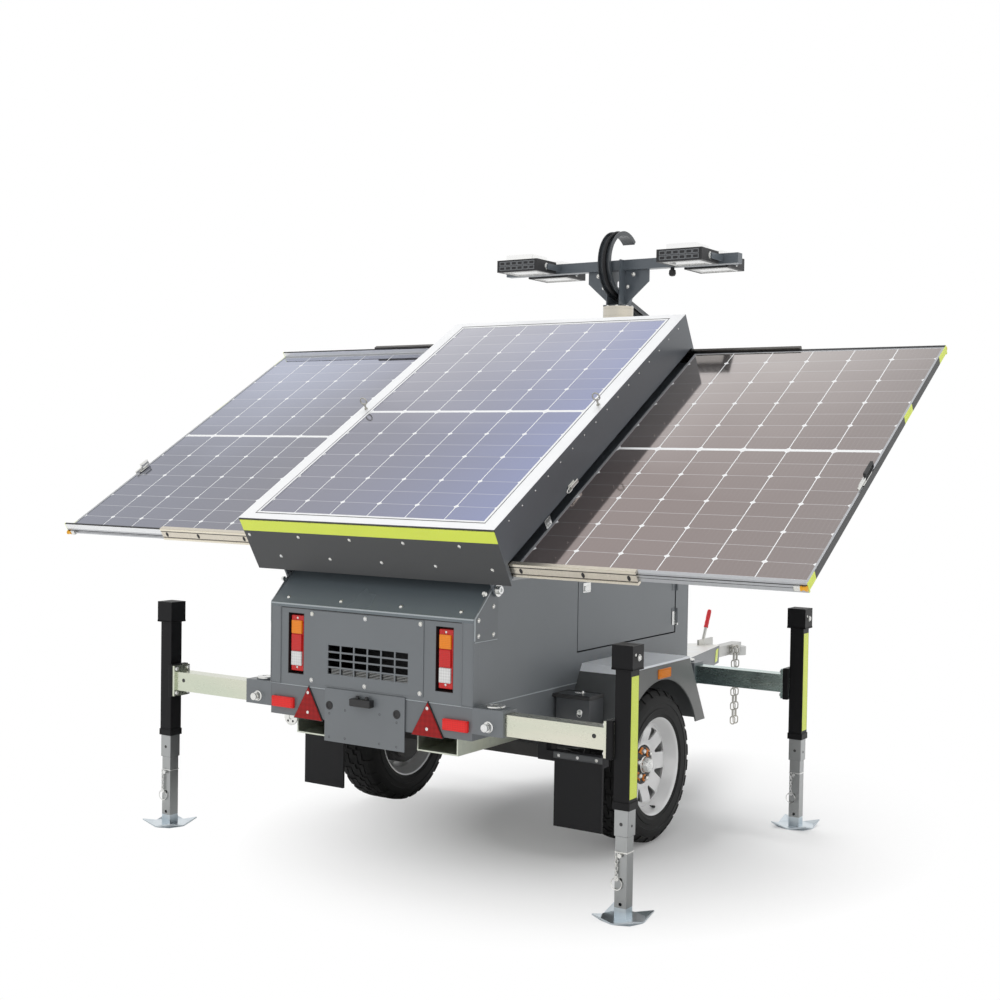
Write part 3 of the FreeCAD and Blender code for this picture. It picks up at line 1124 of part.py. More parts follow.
# Lifting rams: a barrel on the roof's front edge and a rod up to the deck
eye_y = size.pin_y + size.ram_eye * cosine(size.deck_tilt) - size.ram_eye_high * sine(size.deck_tilt)
eye_z = size.pin_z + size.ram_eye * sine(size.deck_tilt) + size.ram_eye_high * cosine(size.deck_tilt)
lean_y = size.ram_y - eye_y
lean_z = eye_z - size.ram_z
reach = math.hypot(lean_y.value, lean_z.value)
ram_angle = math.degrees(math.atan2(lean_z.value, lean_y.value))
ram_turn = Rule(f"atan({lean_z.text} / {lean_y.text}) / 1 deg", ram_angle)
ram_reach = Rule(f"sqrt(({lean_z.text}) ^ 2 + ({lean_y.text}) ^ 2)", reach)
RAM = ((0, size.ram_y, size.ram_z), (1, 0, 0), -ram_turn)
barrels = []
rods = []
lugs = []
for side in (1, -1):
    x = size.ram_x * side
    bore = size.ram_radius - size.ram_wall
    tube = pipe("ram_tube", "Y", (x, -size.ram_long, 0), size.ram_long - size.ram_neck, size.ram_radius, bore)
    gland = pipe("ram_gland", "Y", (x, -size.ram_long, 0), size.gland_long, size.ram_radius,
                 size.ram_rod + size.ram_play)
    plug = cylinder("ram_plug", "Y", (x, -size.ram_neck - size.plug_long, 0), size.plug_long, size.ram_radius)
    eye = cylinder("ram_base_eye", "X", (x - size.eye_wide / 2, 0, 0), size.eye_wide, size.ram_radius - 2)
    link = box("ram_base_link", (x - size.eye_wide / 2, -size.ram_neck, -size.link_half),
               (x + size.eye_wide / 2, 0, size.link_half))
    eye_bore = cylinder("ram_eye_bore", "X", (x - size.eye_wide / 2, 0, 0), size.eye_wide,
                        size.ram_pin + size.ram_play)
    barrels.append(cut("barrel", fuse("barrel_body", [tube, gland, plug, eye, link]), [eye_bore]))
    rod = cylinder("rod", "Y", (x, size.ram_neck - ram_reach, 0), ram_reach - size.ram_long + size.rod_inside,
                   size.ram_rod)
    stem = box("rod_stem", (x - size.eye_wide / 2, -ram_reach, -size.link_half),
               (x + size.eye_wide / 2, size.ram_neck - ram_reach, size.link_half))
    tip_eye = cylinder("rod_eye", "X", (x - size.eye_wide / 2, -ram_reach, 0), size.eye_wide,
                       size.ram_radius - 2)
    rods.append(fuse("ram_rod_set", [rod, stem, tip_eye]))
    fork = [cylinder("ram_pin", "X", (x - size.eye_wide / 2 - size.ram_lug, size.ram_y, size.ram_z),
                     size.eye_wide + size.ram_lug * 2, size.ram_pin)]
    for edge in (-1, 1):
        start = x + (size.eye_wide / 2 + size.ram_play) * edge
        left = start if edge > 0 else start - size.ram_lug
        fork.append(box("ram_lug", (left, size.ram_y - size.plate_reach, roof_z),
                        (left + size.ram_lug, size.ram_y + size.plate_reach,
                         size.ram_z + size.lug_reach / 2)))
    lugs.append(fuse("ram_fork", fork))
keep(place(group("barrel_pair", barrels), *RAM), "ram_barrels")
keep(place(group("rod_pair", rods), *RAM), "ram_rods")
keep(group("deck_mount_set", plates + lugs), "deck_mounts")

doc.recompute()

faults = [item.Name for item in doc.Objects if {"Invalid", "Error"} & set(item.State)]
for item in nodes:
    if item.Shape.isNull() or not item.Shape.isValid() or not item.Shape.Solids:
        faults.append(item.Label)
if faults:
    raise RuntimeError(f"these objects failed: {faults}")
os.makedirs("parts", exist_ok=True)
for item in nodes:
    item.Shape.exportStep(f"parts/{item.Label}.step")
print(f"{len(nodes)} sub-parts written")
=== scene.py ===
import math

import bpy
from mathutils import Matrix, Vector


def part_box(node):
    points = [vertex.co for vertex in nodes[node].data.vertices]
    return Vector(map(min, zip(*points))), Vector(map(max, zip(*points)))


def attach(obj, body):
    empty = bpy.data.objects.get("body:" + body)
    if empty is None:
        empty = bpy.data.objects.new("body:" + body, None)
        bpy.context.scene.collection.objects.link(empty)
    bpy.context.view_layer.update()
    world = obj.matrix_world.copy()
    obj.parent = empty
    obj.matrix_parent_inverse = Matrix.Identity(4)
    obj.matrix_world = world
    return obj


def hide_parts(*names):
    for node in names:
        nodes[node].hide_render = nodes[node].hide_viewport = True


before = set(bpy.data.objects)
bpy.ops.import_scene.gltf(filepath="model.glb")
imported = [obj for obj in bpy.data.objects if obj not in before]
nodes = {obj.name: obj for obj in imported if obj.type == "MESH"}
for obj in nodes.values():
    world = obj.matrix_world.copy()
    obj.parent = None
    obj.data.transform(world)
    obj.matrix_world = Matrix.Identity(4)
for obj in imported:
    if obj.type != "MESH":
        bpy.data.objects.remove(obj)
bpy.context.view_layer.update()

# Studio: the camera stands behind the machine and to its right, at eye height, a little rolled,
# as in the photograph. One soft lamp hangs above, the room is white to the camera and to anything
# glossy and a little dimmer on the right, and the floor's shadow fades to white round the machine.
EYE = Vector((3.5614, -6.3085, 1.6439))
TURN, DIP, ROLL = 0.57756, 0.03039, 0.01578
FOCAL_PIXELS, FRAME_PIXELS, SENSOR = 1461.2, 1000, 36.0
ahead = Vector((-math.sin(TURN) * math.cos(DIP), math.cos(TURN) * math.cos(DIP), -math.sin(DIP)))
level = ahead.cross(Vector((0, 0, 1))).normalized()
upright = level.cross(ahead)
right_way = level * math.cos(ROLL) + upright * math.sin(ROLL)
up_way = upright * math.cos(ROLL) - level * math.sin(ROLL)
lens = bpy.data.cameras.new("photo_camera")
lens.sensor_width = SENSOR
lens.sensor_fit = "HORIZONTAL"
lens.lens = FOCAL_PIXELS * SENSOR / FRAME_PIXELS
lens.clip_end = 200
camera = bpy.data.objects.new("photo_camera", lens)
camera.matrix_world = Matrix.Translation(EYE) @ Matrix((right_way, up_way, -ahead)).transposed().to_4x4()
bpy.context.scene.collection.objects.link(camera)
bpy.context.scene.camera = camera
bpy.context.scene.view_settings.view_transform = "Standard"

LAMP_FROM = Vector((-0.30, 0.20, 0.90))
sun = bpy.data.lights.new("soft_lamp", "SUN")
sun.energy = 1.25
sun.angle = math.radians(24)
lamp = bpy.data.objects.new("soft_lamp", sun)
lamp.visible_glossy = False
lamp.matrix_world = LAMP_FROM.to_track_quat("Z", "Y").to_matrix().to_4x4()
bpy.context.scene.collection.objects.link(lamp)


def wired(tree, kind, inputs, operation=None):
    """Adds a node to a tree: each input gets a value, or the output that feeds it."""
    made = tree.nodes.new(kind)
    if operation:
        made.operation = operation
    for name, value in inputs.items():
        if isinstance(value, bpy.types.NodeSocket):
            tree.links.new(value, made.inputs[name])
        else:
            made.inputs[name].default_value = value
    return made


ROOM_LEVEL, RIGHT_DIMMING = 0.84, 0.34
room = bpy.data.worlds.new("room")
room.use_nodes = True
bpy.context.scene.world = room
air = room.node_tree
backdrop = air.nodes["Background"]
backdrop.inputs["Color"].default_value = (1, 1, 1, 1)
paths = wired(air, "ShaderNodeLightPath", {})
seen = wired(air, "ShaderNodeMath",
             {0: paths.outputs["Is Camera Ray"], 1: paths.outputs["Is Glossy Ray"]}, "MAXIMUM")
seen_clear = wired(air, "ShaderNodeMath",
                   {0: seen.outputs[0], 1: paths.outputs["Is Transmission Ray"]}, "MAXIMUM")
way_seen = wired(air, "ShaderNodeTexCoord", {})
way_parts = wired(air, "ShaderNodeSeparateXYZ", {0: way_seen.outputs["Generated"]})
rightward = wired(air, "ShaderNodeMath", {0: way_parts.outputs["X"], 1: 0.0}, "MAXIMUM")
dim = wired(air, "ShaderNodeMath", {0: rightward.outputs[0], 1: -RIGHT_DIMMING, 2: ROOM_LEVEL},
            "MULTIPLY_ADD")
strength = wired(air, "ShaderNodeMix", {"Factor": seen_clear.outputs[0], "A": dim.outputs[0], "B": 1.0})
air.links.new(strength.outputs["Result"], backdrop.inputs["Strength"])

bpy.ops.object.select_all(action="DESELECT")
bpy.ops.mesh.primitive_plane_add(size=60)
floor = bpy.context.object
floor.name = "floor"
bpy.ops.object.mode_set(mode="EDIT")
bpy.ops.mesh.subdivide(number_cuts=3)
bpy.ops.object.mode_set(mode="OBJECT")
SHADOW_MIDDLE, SHADOW_SPREAD = (0.40, -0.50, 0.0), (1.20, 1.55, 1.0)
FADE = {"From Min": 0.42, "From Max": 1.22, "To Min": 0.12, "To Max": 1.0}
paper = bpy.data.materials.new("floor_paper")
paper.use_nodes = True
sheet = paper.node_tree
paper_shader = sheet.nodes["Principled BSDF"]
paper_shader.inputs["Roughness"].default_value = 0.9
paper_shader.inputs["Base Color"].default_value = (0.93, 0.93, 0.93, 1)
paper_shader.inputs["Specular IOR Level"].default_value = 0.1
glow = wired(sheet, "ShaderNodeEmission", {"Strength": 1.0})
place = wired(sheet, "ShaderNodeTexCoord", {})
from_middle = wired(sheet, "ShaderNodeVectorMath", {0: place.outputs["Object"], 1: SHADOW_MIDDLE}, "SUBTRACT")
spread = wired(sheet, "ShaderNodeVectorMath", {0: from_middle.outputs[0], 1: SHADOW_SPREAD}, "DIVIDE")
far = wired(sheet, "ShaderNodeVectorMath", {0: spread.outputs[0]}, "LENGTH")
fading = wired(sheet, "ShaderNodeMapRange", {"Value": far.outputs["Value"], **FADE})
path = wired(sheet, "ShaderNodeLightPath", {})
to_camera = wired(sheet, "ShaderNodeMath",
                  {0: path.outputs["Is Camera Ray"], 1: fading.outputs[0]}, "MULTIPLY")
blend = wired(sheet, "ShaderNodeMixShader",
              {0: to_camera.outputs[0], 1: paper_shader.outputs[0], 2: glow.outputs[0]})
sheet.links.new(blend.outputs[0], sheet.nodes["Material Output"].inputs["Surface"])
floor.data.materials.append(paper)


# Chassis: folded and welded steel beams, powder coated in a mid grey, with road dust low down.
# The beams, cross members and the deck's mounts are the solids themselves.
class Line:
    """A value inside a finish. Sums on it add the Math nodes."""

    def __init__(self, finish, socket):
        self.finish = finish
        self.socket = socket

    def maths(self, operation, first, second=None):
        values = {0: first} if second is None else {0: first, 1: second}
        return self.finish.node("ShaderNodeMath", {"operation": operation}, values)

    def __add__(self, other):
        return self.maths("ADD", self, other)

    def __sub__(self, other):
        return self.maths("SUBTRACT", self, other)

    def __rsub__(self, other):
        return self.maths("SUBTRACT", other, self)

    def __mul__(self, other):
        return self.maths("MULTIPLY", self, other)

    def __truediv__(self, other):
        return self.maths("DIVIDE", self, other)

    def __mod__(self, other):
        return self.maths("FLOORED_MODULO", self, other)

    def __lt__(self, other):
        return self.maths("LESS_THAN", self, other)

    def __gt__(self, other):
        return self.maths("GREATER_THAN", self, other)

    def __abs__(self):
        return self.maths("ABSOLUTE", self)

    def whole(self):
        return self.maths("FLOOR", self)

    def most(self, other):
        return self.maths("MAXIMUM", self, other)

    def least(self, other):
        return self.maths("MINIMUM", self, other)

    def held(self):
        return self.most(0.0).least(1.0)

    __radd__ = __add__
    __rmul__ = __mul__


class Finish:
    """A finish being made up: its shader, and the nodes that lead to it."""

    def __init__(self, name, colour, roughness, metallic=0.0, **fixed):
        self.material = bpy.data.materials.new(name)
        self.material.use_nodes = True
        self.tree = self.material.node_tree
        self.shader = self.tree.nodes["Principled BSDF"]
        self.place = self.node("ShaderNodeTexCoord", out="Object")
        self.set("Base Color", colour)
        self.set("Roughness", roughness)
        self.set("Metallic", metallic)
        for socket, value in fixed.items():
            self.set(socket.replace("_", " ").title().replace("Ior", "IOR"), value)

    def feed(self, socket, value):
        if isinstance(value, Line):
            self.tree.links.new(value.socket, socket)
        elif socket.type == "RGBA":
            socket.default_value = (*value[:3], 1.0)
        else:
            socket.default_value = value

    def set(self, name, value):
        self.feed(self.shader.inputs[name], value)

    def node(self, kind, settings=None, values=None, out=0):
        """Adds one node: its settings first, then the values or lines of its sockets."""
        made = self.tree.nodes.new(kind)
        for name, value in (settings or {}).items():
            setattr(made, name, value)
        for name, value in (values or {}).items():
            if isinstance(name, str):
                self.feed(next(s for s in made.inputs if name in (s.identifier, s.name)), value)
            else:
                self.feed(made.inputs[name], value)
        if isinstance(out, str):
            return Line(self, next(s for s in made.outputs if out in (s.identifier, s.name)))
        return Line(self, made.outputs[out])

    def axes(self):
        """The three coordinates apart."""
        return [self.node("ShaderNodeSeparateXYZ", None, {"Vector": self.place}, out) for out in "XYZ"]

    def mix(self, factor, first, second):
        """One colour over another, by a mask."""
        return self.node("ShaderNodeMix", {"data_type": "RGBA"},
                         {"Factor_Float": factor, "A_Color": first, "B_Color": second}, "Result_Color")

    def noise(self, scale, detail=2.0, stretch=None):
        """Cloudy values from 0 to 1, drawn out along an axis if stretched."""
        place = self.place
        if stretch:
            place = self.node("ShaderNodeMapping", None, {"Vector": place, "Scale": stretch})
        return self.node("ShaderNodeTexNoise", None, {"Vector": place, "Scale": scale, "Detail": detail})

    def cells(self, scale, feature="F1", out="Distance"):
        """Values of a cell pattern, such as spangle."""
        return self.node("ShaderNodeTexVoronoi", {"feature": feature},
                         {"Vector": self.place, "Scale": scale}, out)

    def bump(self, height, distance, strength=1.0):
        self.set("Normal", self.node("ShaderNodeBump", None,
                                     {"Height": height, "Distance": distance, "Strength": strength}))
        return self


def shade(colour, amount):
    """A colour made lighter or darker."""
    return tuple(min(1.0, part * amount) for part in colour)


def powder_coat(name, colour, roughness=0.4, dust=0.25, shine=0.5):
    """Baked paint: fine orange peel, faint clouds in the tone, and road dust near the ground."""
    finish = Finish(name, colour, roughness, specular_ior_level=shine)
    cloud = finish.noise(2.3, 4)
    tone = finish.mix(cloud, shade(colour, 0.90), shade(colour, 1.10))
    height = finish.axes()[2]
    low = ((0.75 - height) * 1.3).held()
    grime = low * finish.noise(9, 5) * dust
    finish.set("Base Color", finish.mix(grime, tone, (0.30, 0.29, 0.27)))
    finish.set("Roughness", roughness + (cloud - 0.5) * 0.12 + grime * 0.4)
    return finish.bump(finish.noise(650, 1) + cloud * 0.3, 0.0006, 0.25)


def dress(finish, *names):
    """Gives CAD nodes their finish."""
    for name in names:
        mesh = nodes[name]
        if not mesh.material_slots:
            mesh.data.materials.append(finish.material)
        for place in mesh.material_slots:
            place.material = finish.material


frame_grey = powder_coat("frame_grey", (0.150, 0.163, 0.175), 0.42, 0.35)
dress(frame_grey, "chassis_frame", "mast_carrier", "deck_mounts")
under_black = powder_coat("under_black", (0.020, 0.020, 0.021), 0.55, 0.5)
dress(under_black, "axle")


# Cabinet: a welded steel box on the chassis, painted as the beams are. Its rear corners have folded
# posts, and each side carries a bolted plate for the deck's hinge pin. The pins have big washers.
def alone(*pieces):
    """Leaves these pieces selected and nothing else, the last of them active."""
    if bpy.context.object and bpy.context.object.mode != "OBJECT":
        bpy.ops.object.mode_set(mode="OBJECT")
    bpy.ops.object.select_all(action="DESELECT")
    for piece in pieces:
        piece.select_set(True)
        bpy.context.view_layer.objects.active = piece


def pick(piece, chosen):
    """Goes into edit mode with only the faces selected whose middle and normal are chosen."""
    alone(piece)
    bpy.ops.object.mode_set(mode="EDIT")
    bpy.ops.mesh.select_mode(type="FACE")
    bpy.ops.mesh.select_all(action="DESELECT")
    bpy.ops.object.mode_set(mode="OBJECT")
    for face in piece.data.polygons:
        face.select = bool(chosen(face.center, face.normal))
    bpy.ops.object.mode_set(mode="EDIT")


def inlay(piece, chosen, *steps):
    """Insets the chosen faces, once for each step of (thickness, depth)."""
    pick(piece, chosen)
    for thickness, depth in steps:
        bpy.ops.mesh.inset(thickness=thickness, depth=depth)
    bpy.ops.object.mode_set(mode="OBJECT")


def close():
    """Turns every normal outward and leaves edit mode."""
    bpy.ops.mesh.select_all(action="SELECT")
    bpy.ops.mesh.normals_make_consistent(inside=False)
    bpy.ops.object.mode_set(mode="OBJECT")


def smooth(piece, angle=35):
    """Rounds the shading, but not across edges sharper than the angle."""
    alone(piece)
    bpy.ops.object.shade_smooth_by_angle(angle=math.radians(angle))
    return piece


def block(name, low, high, edge=0.0015, steps=2):
    """A bar or plate between two corners, with eased edges."""
    low, high = Vector(low), Vector(high)
    alone()
    bpy.ops.mesh.primitive_cube_add(size=1, location=(low + high) / 2)
    piece = bpy.context.object
    piece.name = name
    piece.scale = high - low
    bpy.ops.object.transform_apply()
    bpy.ops.object.mode_set(mode="EDIT")
    bpy.ops.mesh.select_all(action="SELECT")
    bpy.ops.mesh.bevel(offset=edge, segments=steps, affect="EDGES")
    bpy.ops.object.mode_set(mode="OBJECT")
    return piece


FACING = {"x": Matrix.Rotation(math.pi / 2, 4, "Y"), "-x": Matrix.Rotation(-math.pi / 2, 4, "Y"),
          "y": Matrix.Rotation(-math.pi / 2, 4, "X"), "-y": Matrix.Rotation(math.pi / 2, 4, "X"),
          "z": Matrix.Identity(4), "-z": Matrix.Rotation(math.pi, 4, "X")}


def turned(name, foot, facing, rings, sides=24, angle=35):
    """A turned part: rings of (radius, height) drawn up one after another from a disc at its foot."""
    alone()
    radius, height = rings[0]
    bpy.ops.mesh.primitive_circle_add(vertices=sides, radius=radius, fill_type="NGON",
                                      location=(0, 0, height))
    piece = bpy.context.object
    piece.name = name
    bpy.ops.object.transform_apply()
    bpy.ops.object.mode_set(mode="EDIT")
    bpy.ops.mesh.select_all(action="SELECT")
    for wider, higher in rings[1:]:
        bpy.ops.mesh.extrude_region_move(TRANSFORM_OT_translate={"value": (0, 0, higher - height)})
        bpy.ops.transform.resize(value=(wider / radius, wider / radius, 1), center_override=(0, 0, higher))
        radius, height = wider, higher
    close()
    piece.data.transform(Matrix.Translation(foot) @ FACING[facing])
    return smooth(piece, angle)


def again(piece, move, name=None):
    """A copy with a mesh of its own, carried to a new place."""
    twin = piece.copy()
    twin.data = piece.data.copy()
    twin.name = name or piece.name
    twin.hide_render = False
    bpy.context.scene.collection.objects.link(twin)
    twin.data.transform(move)
    if move.determinant() < 0:
        twin.data.flip_normals()
    return twin


MIRROR = Matrix.Scale(-1, 4, (1, 0, 0))


def to_side(piece, side):
    """Mirrors a piece that was made on the right, if it belongs on the left."""
    if side < 0:
        piece.data.transform(MIRROR)
        piece.data.flip_normals()


def one_piece(name, parts):
    """Joins parts that are fixed together."""
    alone(*parts)
    if len(parts) > 1:
        bpy.ops.object.join()
    piece = bpy.context.object
    piece.name = name
    return piece


def cut_away(piece, cutter):
    """Takes the cutter's volume out of a piece, and the cutter out of the scene."""
    cut = piece.modifiers.new("cut", "BOOLEAN")
    cut.object = cutter
    cut.solver = "EXACT"
    alone(piece)
    bpy.ops.object.modifier_apply(modifier="cut")
    bpy.data.objects.remove(cutter)


def paint(piece, finish):
    piece.data.materials.clear()
    piece.data.materials.append(finish.material)
    return piece


def fit(piece, body, finish=None):
    """Hands a finished piece over: its finish, and the body that it rides on."""
    if finish:
        paint(piece, finish)
    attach(piece, body)
    return piece


def plated(name, colour, roughness=0.3, tint=(0.80, 0.80, 0.60), spangle=0.0, stretch=None):
    """Zinc on steel: patches of a warm passivate sheen, drawing marks, and spangle if hot dipped."""
    finish = Finish(name, colour, roughness, 1.0)
    patch = finish.noise(3.5, 3, stretch)
    grain = finish.noise(60, 4, stretch)
    tone = finish.mix((patch * 1.8 - 0.45).held(), colour, tint)
    if spangle:
        flake = finish.node("ShaderNodeRGBToBW", None, {"Color": finish.cells(38, out="Color")})
        tone = finish.mix(flake * spangle, tone, shade(colour, 0.72))
        finish.set("Roughness", roughness + flake * 0.14 + grain * 0.08)
    else:
        finish.set("Roughness", roughness - 0.06 + grain * 0.16)
    finish.set("Base Color", tone)
    return finish.bump(grain, 0.0004, 0.22)


REAR = -1.781
SIDE = 0.502
SIDES = {"right": 1, "left": -1}
OUTWARD = {1: "x", -1: "-x"}
body_grey = powder_coat("body_grey", (0.165, 0.180, 0.193), 0.34)
bright_zinc = plated("bright_zinc", (0.74, 0.75, 0.76), 0.24, (0.76, 0.75, 0.69))
dress(body_grey, "cabinet")

POST_WIDE, POST_PROUD = 0.052, 0.0035
posts = []
for tag, side in SIDES.items():
    post = block("corner_post", (SIDE - POST_WIDE, REAR - POST_PROUD, 0.694),
                 (SIDE + POST_PROUD, REAR + 0.04, 1.022))
    inlay(post, lambda at, way: way.y < -0.9, (0.004, 0), (0.002, -0.0008))
    to_side(post, side)
    posts.append(post)
fit(one_piece("corner_posts", posts), "chassis", body_grey)

# Dome headed bolts, zinc plated, with a washer and a six sided recess. All over the machine they
# hold the plates; each group is one piece.
BOLT = 0.0085
dome_bolt = turned("dome_bolt", (0, 0, 0), "z",
                   [(BOLT * 1.25, 0), (BOLT * 1.25, 0.0016), (BOLT, 0.0016), (BOLT, 0.0030),
                    (BOLT * 0.86, 0.0052), (BOLT * 0.62, 0.0066), (BOLT * 0.36, 0.0070),
                    (BOLT * 0.34, 0.0040)], sides=18)
paint(dome_bolt, bright_zinc)
dome_bolt.hide_render = True


def bolts(name, body, places, facing, size=1.0, finish=None, turn=Matrix.Identity(4)):
    """A group of dome headed bolts, all facing one way."""
    parts = []
    for place in places:
        stand = turn @ Matrix.Translation(place) @ FACING[facing] @ Matrix.Scale(size, 4)
        parts.append(again(dome_bolt, stand))
    group = one_piece(name, parts)
    return fit(group, body, finish)


PLATE_OUT = 0.508
plate_bolts = [(-1.757, 0.963), (-1.655, 0.961), (-1.757, 1.022), (-1.657, 1.068)]
HINGE = Vector((0, -1.646, 1.131))
for tag, side in SIDES.items():
    bolts(f"hinge_plate_bolts_{tag}", "chassis", [(side * PLATE_OUT, y, z) for y, z in plate_bolts],
          OUTWARD[side], 0.85)
    pin = turned("hinge_pin", (side * 0.5203, HINGE.y, HINGE.z), OUTWARD[side],
                 [(0.026, 0), (0.026, 0.004), (0.0165, 0.004), (0.0165, 0.014), (0.015, 0.016),
                  (0.007, 0.016), (0.006, 0.012)], sides=32)
    stub = turned("hinge_bolt", (side * 0.4975, -1.712, 1.118), OUTWARD[side],
                  [(0.011, 0), (0.011, 0.004), (0.009, 0.004), (0.009, 0.011), (0.007, 0.013)], sides=6)
    fit(one_piece(f"hinge_pin_{tag}", [pin, stub]), "chassis", bright_zinc)

HOOD_FOOT, HOOD_TOP = Vector((0, REAR, 1.028)), Vector((0, -1.640, 1.158))
hood_way = (HOOD_TOP - HOOD_FOOT).normalized()
hood_long = (HOOD_TOP - HOOD_FOOT).length
hood_lean = math.atan2(hood_way.z, hood_way.y)
hood_turn = Matrix.Translation(HOOD_FOOT) @ Matrix.Rotation(hood_lean, 4, "X")
hood_grey = powder_coat("hood_grey", (0.135, 0.160, 0.175), 0.27, 0.0)
# The hood's paint is lighter near its foot and darker up the slope: a painted highlight along the lip.
foot_highlight_fade = ((hood_grey.axes()[2] - 1.05) * 9.0).held()
hood_cloud = hood_grey.noise(3, 2) * 0.12
hood_grey.set("Base Color",
              hood_grey.mix((foot_highlight_fade + hood_cloud).held(), (0.150, 0.178, 0.195), (0.082, 0.100, 0.112)))
# Pale strips on the hood's lip, the sills and the hinge plates' edges are painted highlights where those
# edges catch the light.
painted_highlight_edge = powder_coat("painted_highlight_edge", (0.40, 0.44, 0.46), 0.30, 0.0)
sheet = block("hood_sheet", (-SIDE + 0.001, 0.0, 0.0002),
              (SIDE - 0.001, hood_long - 0.004, 0.0014), 0.0005, 1)
inlay(sheet, lambda at, way: way.z > 0.9, (0.005, 0))
sheet.data.transform(hood_turn)
fit(sheet, "chassis", hood_grey)
bolts("hood_bolts", "chassis", [(x, 0.030, 0.0014) for x in (-0.43, -0.155, 0.145, 0.43)], "z", 0.85,
      turn=hood_turn)
lip = block("hood_lip", (-SIDE - 0.002, REAR - 0.004, 1.012), (SIDE + 0.002, REAR + 0.008, 1.027), 0.002)
inlay(lip, lambda at, way: way.y < -0.9, (0.0015, 0))
fit(lip, "chassis", hood_grey)
line = block("lip_line", (-SIDE - 0.002, REAR - 0.0050, 1.0225),
             (SIDE + 0.002, REAR + 0.002, 1.0285), 0.0008, 1)
# A black strip just under the hood's lip is painted shadow, the shade that the lip casts.
painted_lip_shadow = block("lip_shadow_strip", (-SIDE + 0.054, REAR - 0.0010, 1.0085),
                   (SIDE - 0.054, REAR + 0.001, 1.0120), 0.0003, 1)
fit(painted_lip_shadow, "chassis", under_black)
sills = [line,
         block("sill_line", (-SIDE - 0.001, REAR - 0.0020, 0.6925),
               (SIDE + 0.001, REAR + 0.001, 0.6955), 0.0005, 1)]
for side in SIDES.values():
    near_side = block("sill_line", (SIDE - 0.001, REAR, 0.6925), (SIDE + 0.0016, -0.120, 0.6965), 0.0005, 1)
    upright_edge = block("plate_edge", (PLATE_OUT - 0.003, REAR - 0.0010, 0.945),
                         (PLATE_OUT + 0.0008, REAR + 0.0034, 1.028), 0.0004, 1)
    low_edge = block("plate_edge", (PLATE_OUT - 0.001, REAR, 0.9385),
                     (PLATE_OUT + 0.0008, -1.626, 0.9412), 0.0004, 1)
    leaning_edge = block("plate_edge", (PLATE_OUT - 0.003, 0.0, -0.0030),
                         (PLATE_OUT + 0.0008, hood_long - 0.02, 0.0016), 0.0004, 1)
    leaning_edge.data.transform(hood_turn)
    for edge in (near_side, upright_edge, low_edge, leaning_edge):
        to_side(edge, side)
        sills.append(edge)
fit(one_piece("painted_highlight_edges", sills), "chassis", painted_highlight_edge)

# Tie-down disc: a zinc plated steel disc under the rear beam, with two holes, half hidden by it.
TIE_X = -0.412
disc = turned("tie_disc", (TIE_X, -1.762, 0.556), "-y",
              [(0.034, -0.005), (0.034, -0.001), (0.032, 0.0), (0.010, 0.0), (0.008, -0.003)], 32)
# The disc's two holes are black pieces: painted shade inside the holes.
eyelets = [turned("eyelet", (TIE_X + across, -1.762, 0.540), "-y",
                  [(0.005, -0.004), (0.005, 0.0004), (0.004, 0.0005)], 14)
           for across in (-0.014, 0.012)]
tie_parts = [paint(disc, bright_zinc)] + [paint(eyelet, under_black) for eyelet in eyelets]
fit(one_piece("tie_down_disc", tie_parts), "chassis")


# Hatch: a steel panel with a grille of 6 by 4 openings and zinc mesh in the lowest row of them.
# Six dome headed bolts hold it.
dress(body_grey, "hatch")
hatch_bolts = [(x, -1.784, z) for x in (-0.285, -0.012, 0.258) for z in (0.724, 0.992)]
bolts("hatch_bolts", "chassis", hatch_bolts, "-y", 0.85)
mesh_bars = [block("mesh_bar", (-0.186, -1.7785, 0.7530 + 0.0058 * step),
                   (0.200, -1.7770, 0.7552 + 0.0058 * step), 0.0004, 1)
             for step in range(5)]
mesh_zinc = plated("mesh_zinc", (0.40, 0.41, 0.42), 0.35, (0.45, 0.45, 0.42))
fit(one_piece("grille_mesh", mesh_bars), "chassis", mesh_zinc)

# Power pack: the battery and generator set inside the cabinet, seen only through its openings.
pack_dark = powder_coat("pack_dark", (0.025, 0.026, 0.028), 0.55)
dress(pack_dark, "power_pack")


# Tail lamps: upright clusters in black recesses. Each has an amber, a red and a clear lens in one
# red moulding, held by a screw at each end.
def lamp_lens(name, colour, ribs=150, glow=0.05, shine=0.5):
    """A moulded lens with fine prisms behind its clear face."""
    finish = Finish(name, colour, 0.16, coat_weight=shine, coat_roughness=0.05, specular_ior_level=shine)
    x, y, z = finish.axes()
    prism = abs((x * ribs) % 1.0 - 0.5) + abs((z * ribs) % 1.0 - 0.5)
    finish.set("Base Color", finish.mix(prism * 0.55, colour, shade(colour, 0.45)))
    # The emission is a faint painted glow that lightens the lenses and reflectors; no lamp inside them is
    # lit.
    finish.set("Emission Color", colour)
    finish.set("Emission Strength", glow)
    return finish.bump(prism, 0.0008, 0.35)


def moulded(name, colour, roughness=0.45):
    """Moulded plastic with a fine grain."""
    finish = Finish(name, colour, roughness, ior=1.47)
    cloud = finish.noise(12, 3)
    finish.set("Base Color", finish.mix(cloud, shade(colour, 0.85), shade(colour, 1.2)))
    finish.set("Roughness", roughness + (cloud - 0.5) * 0.14)
    return finish.bump(finish.noise(900, 1), 0.0004, 0.2)


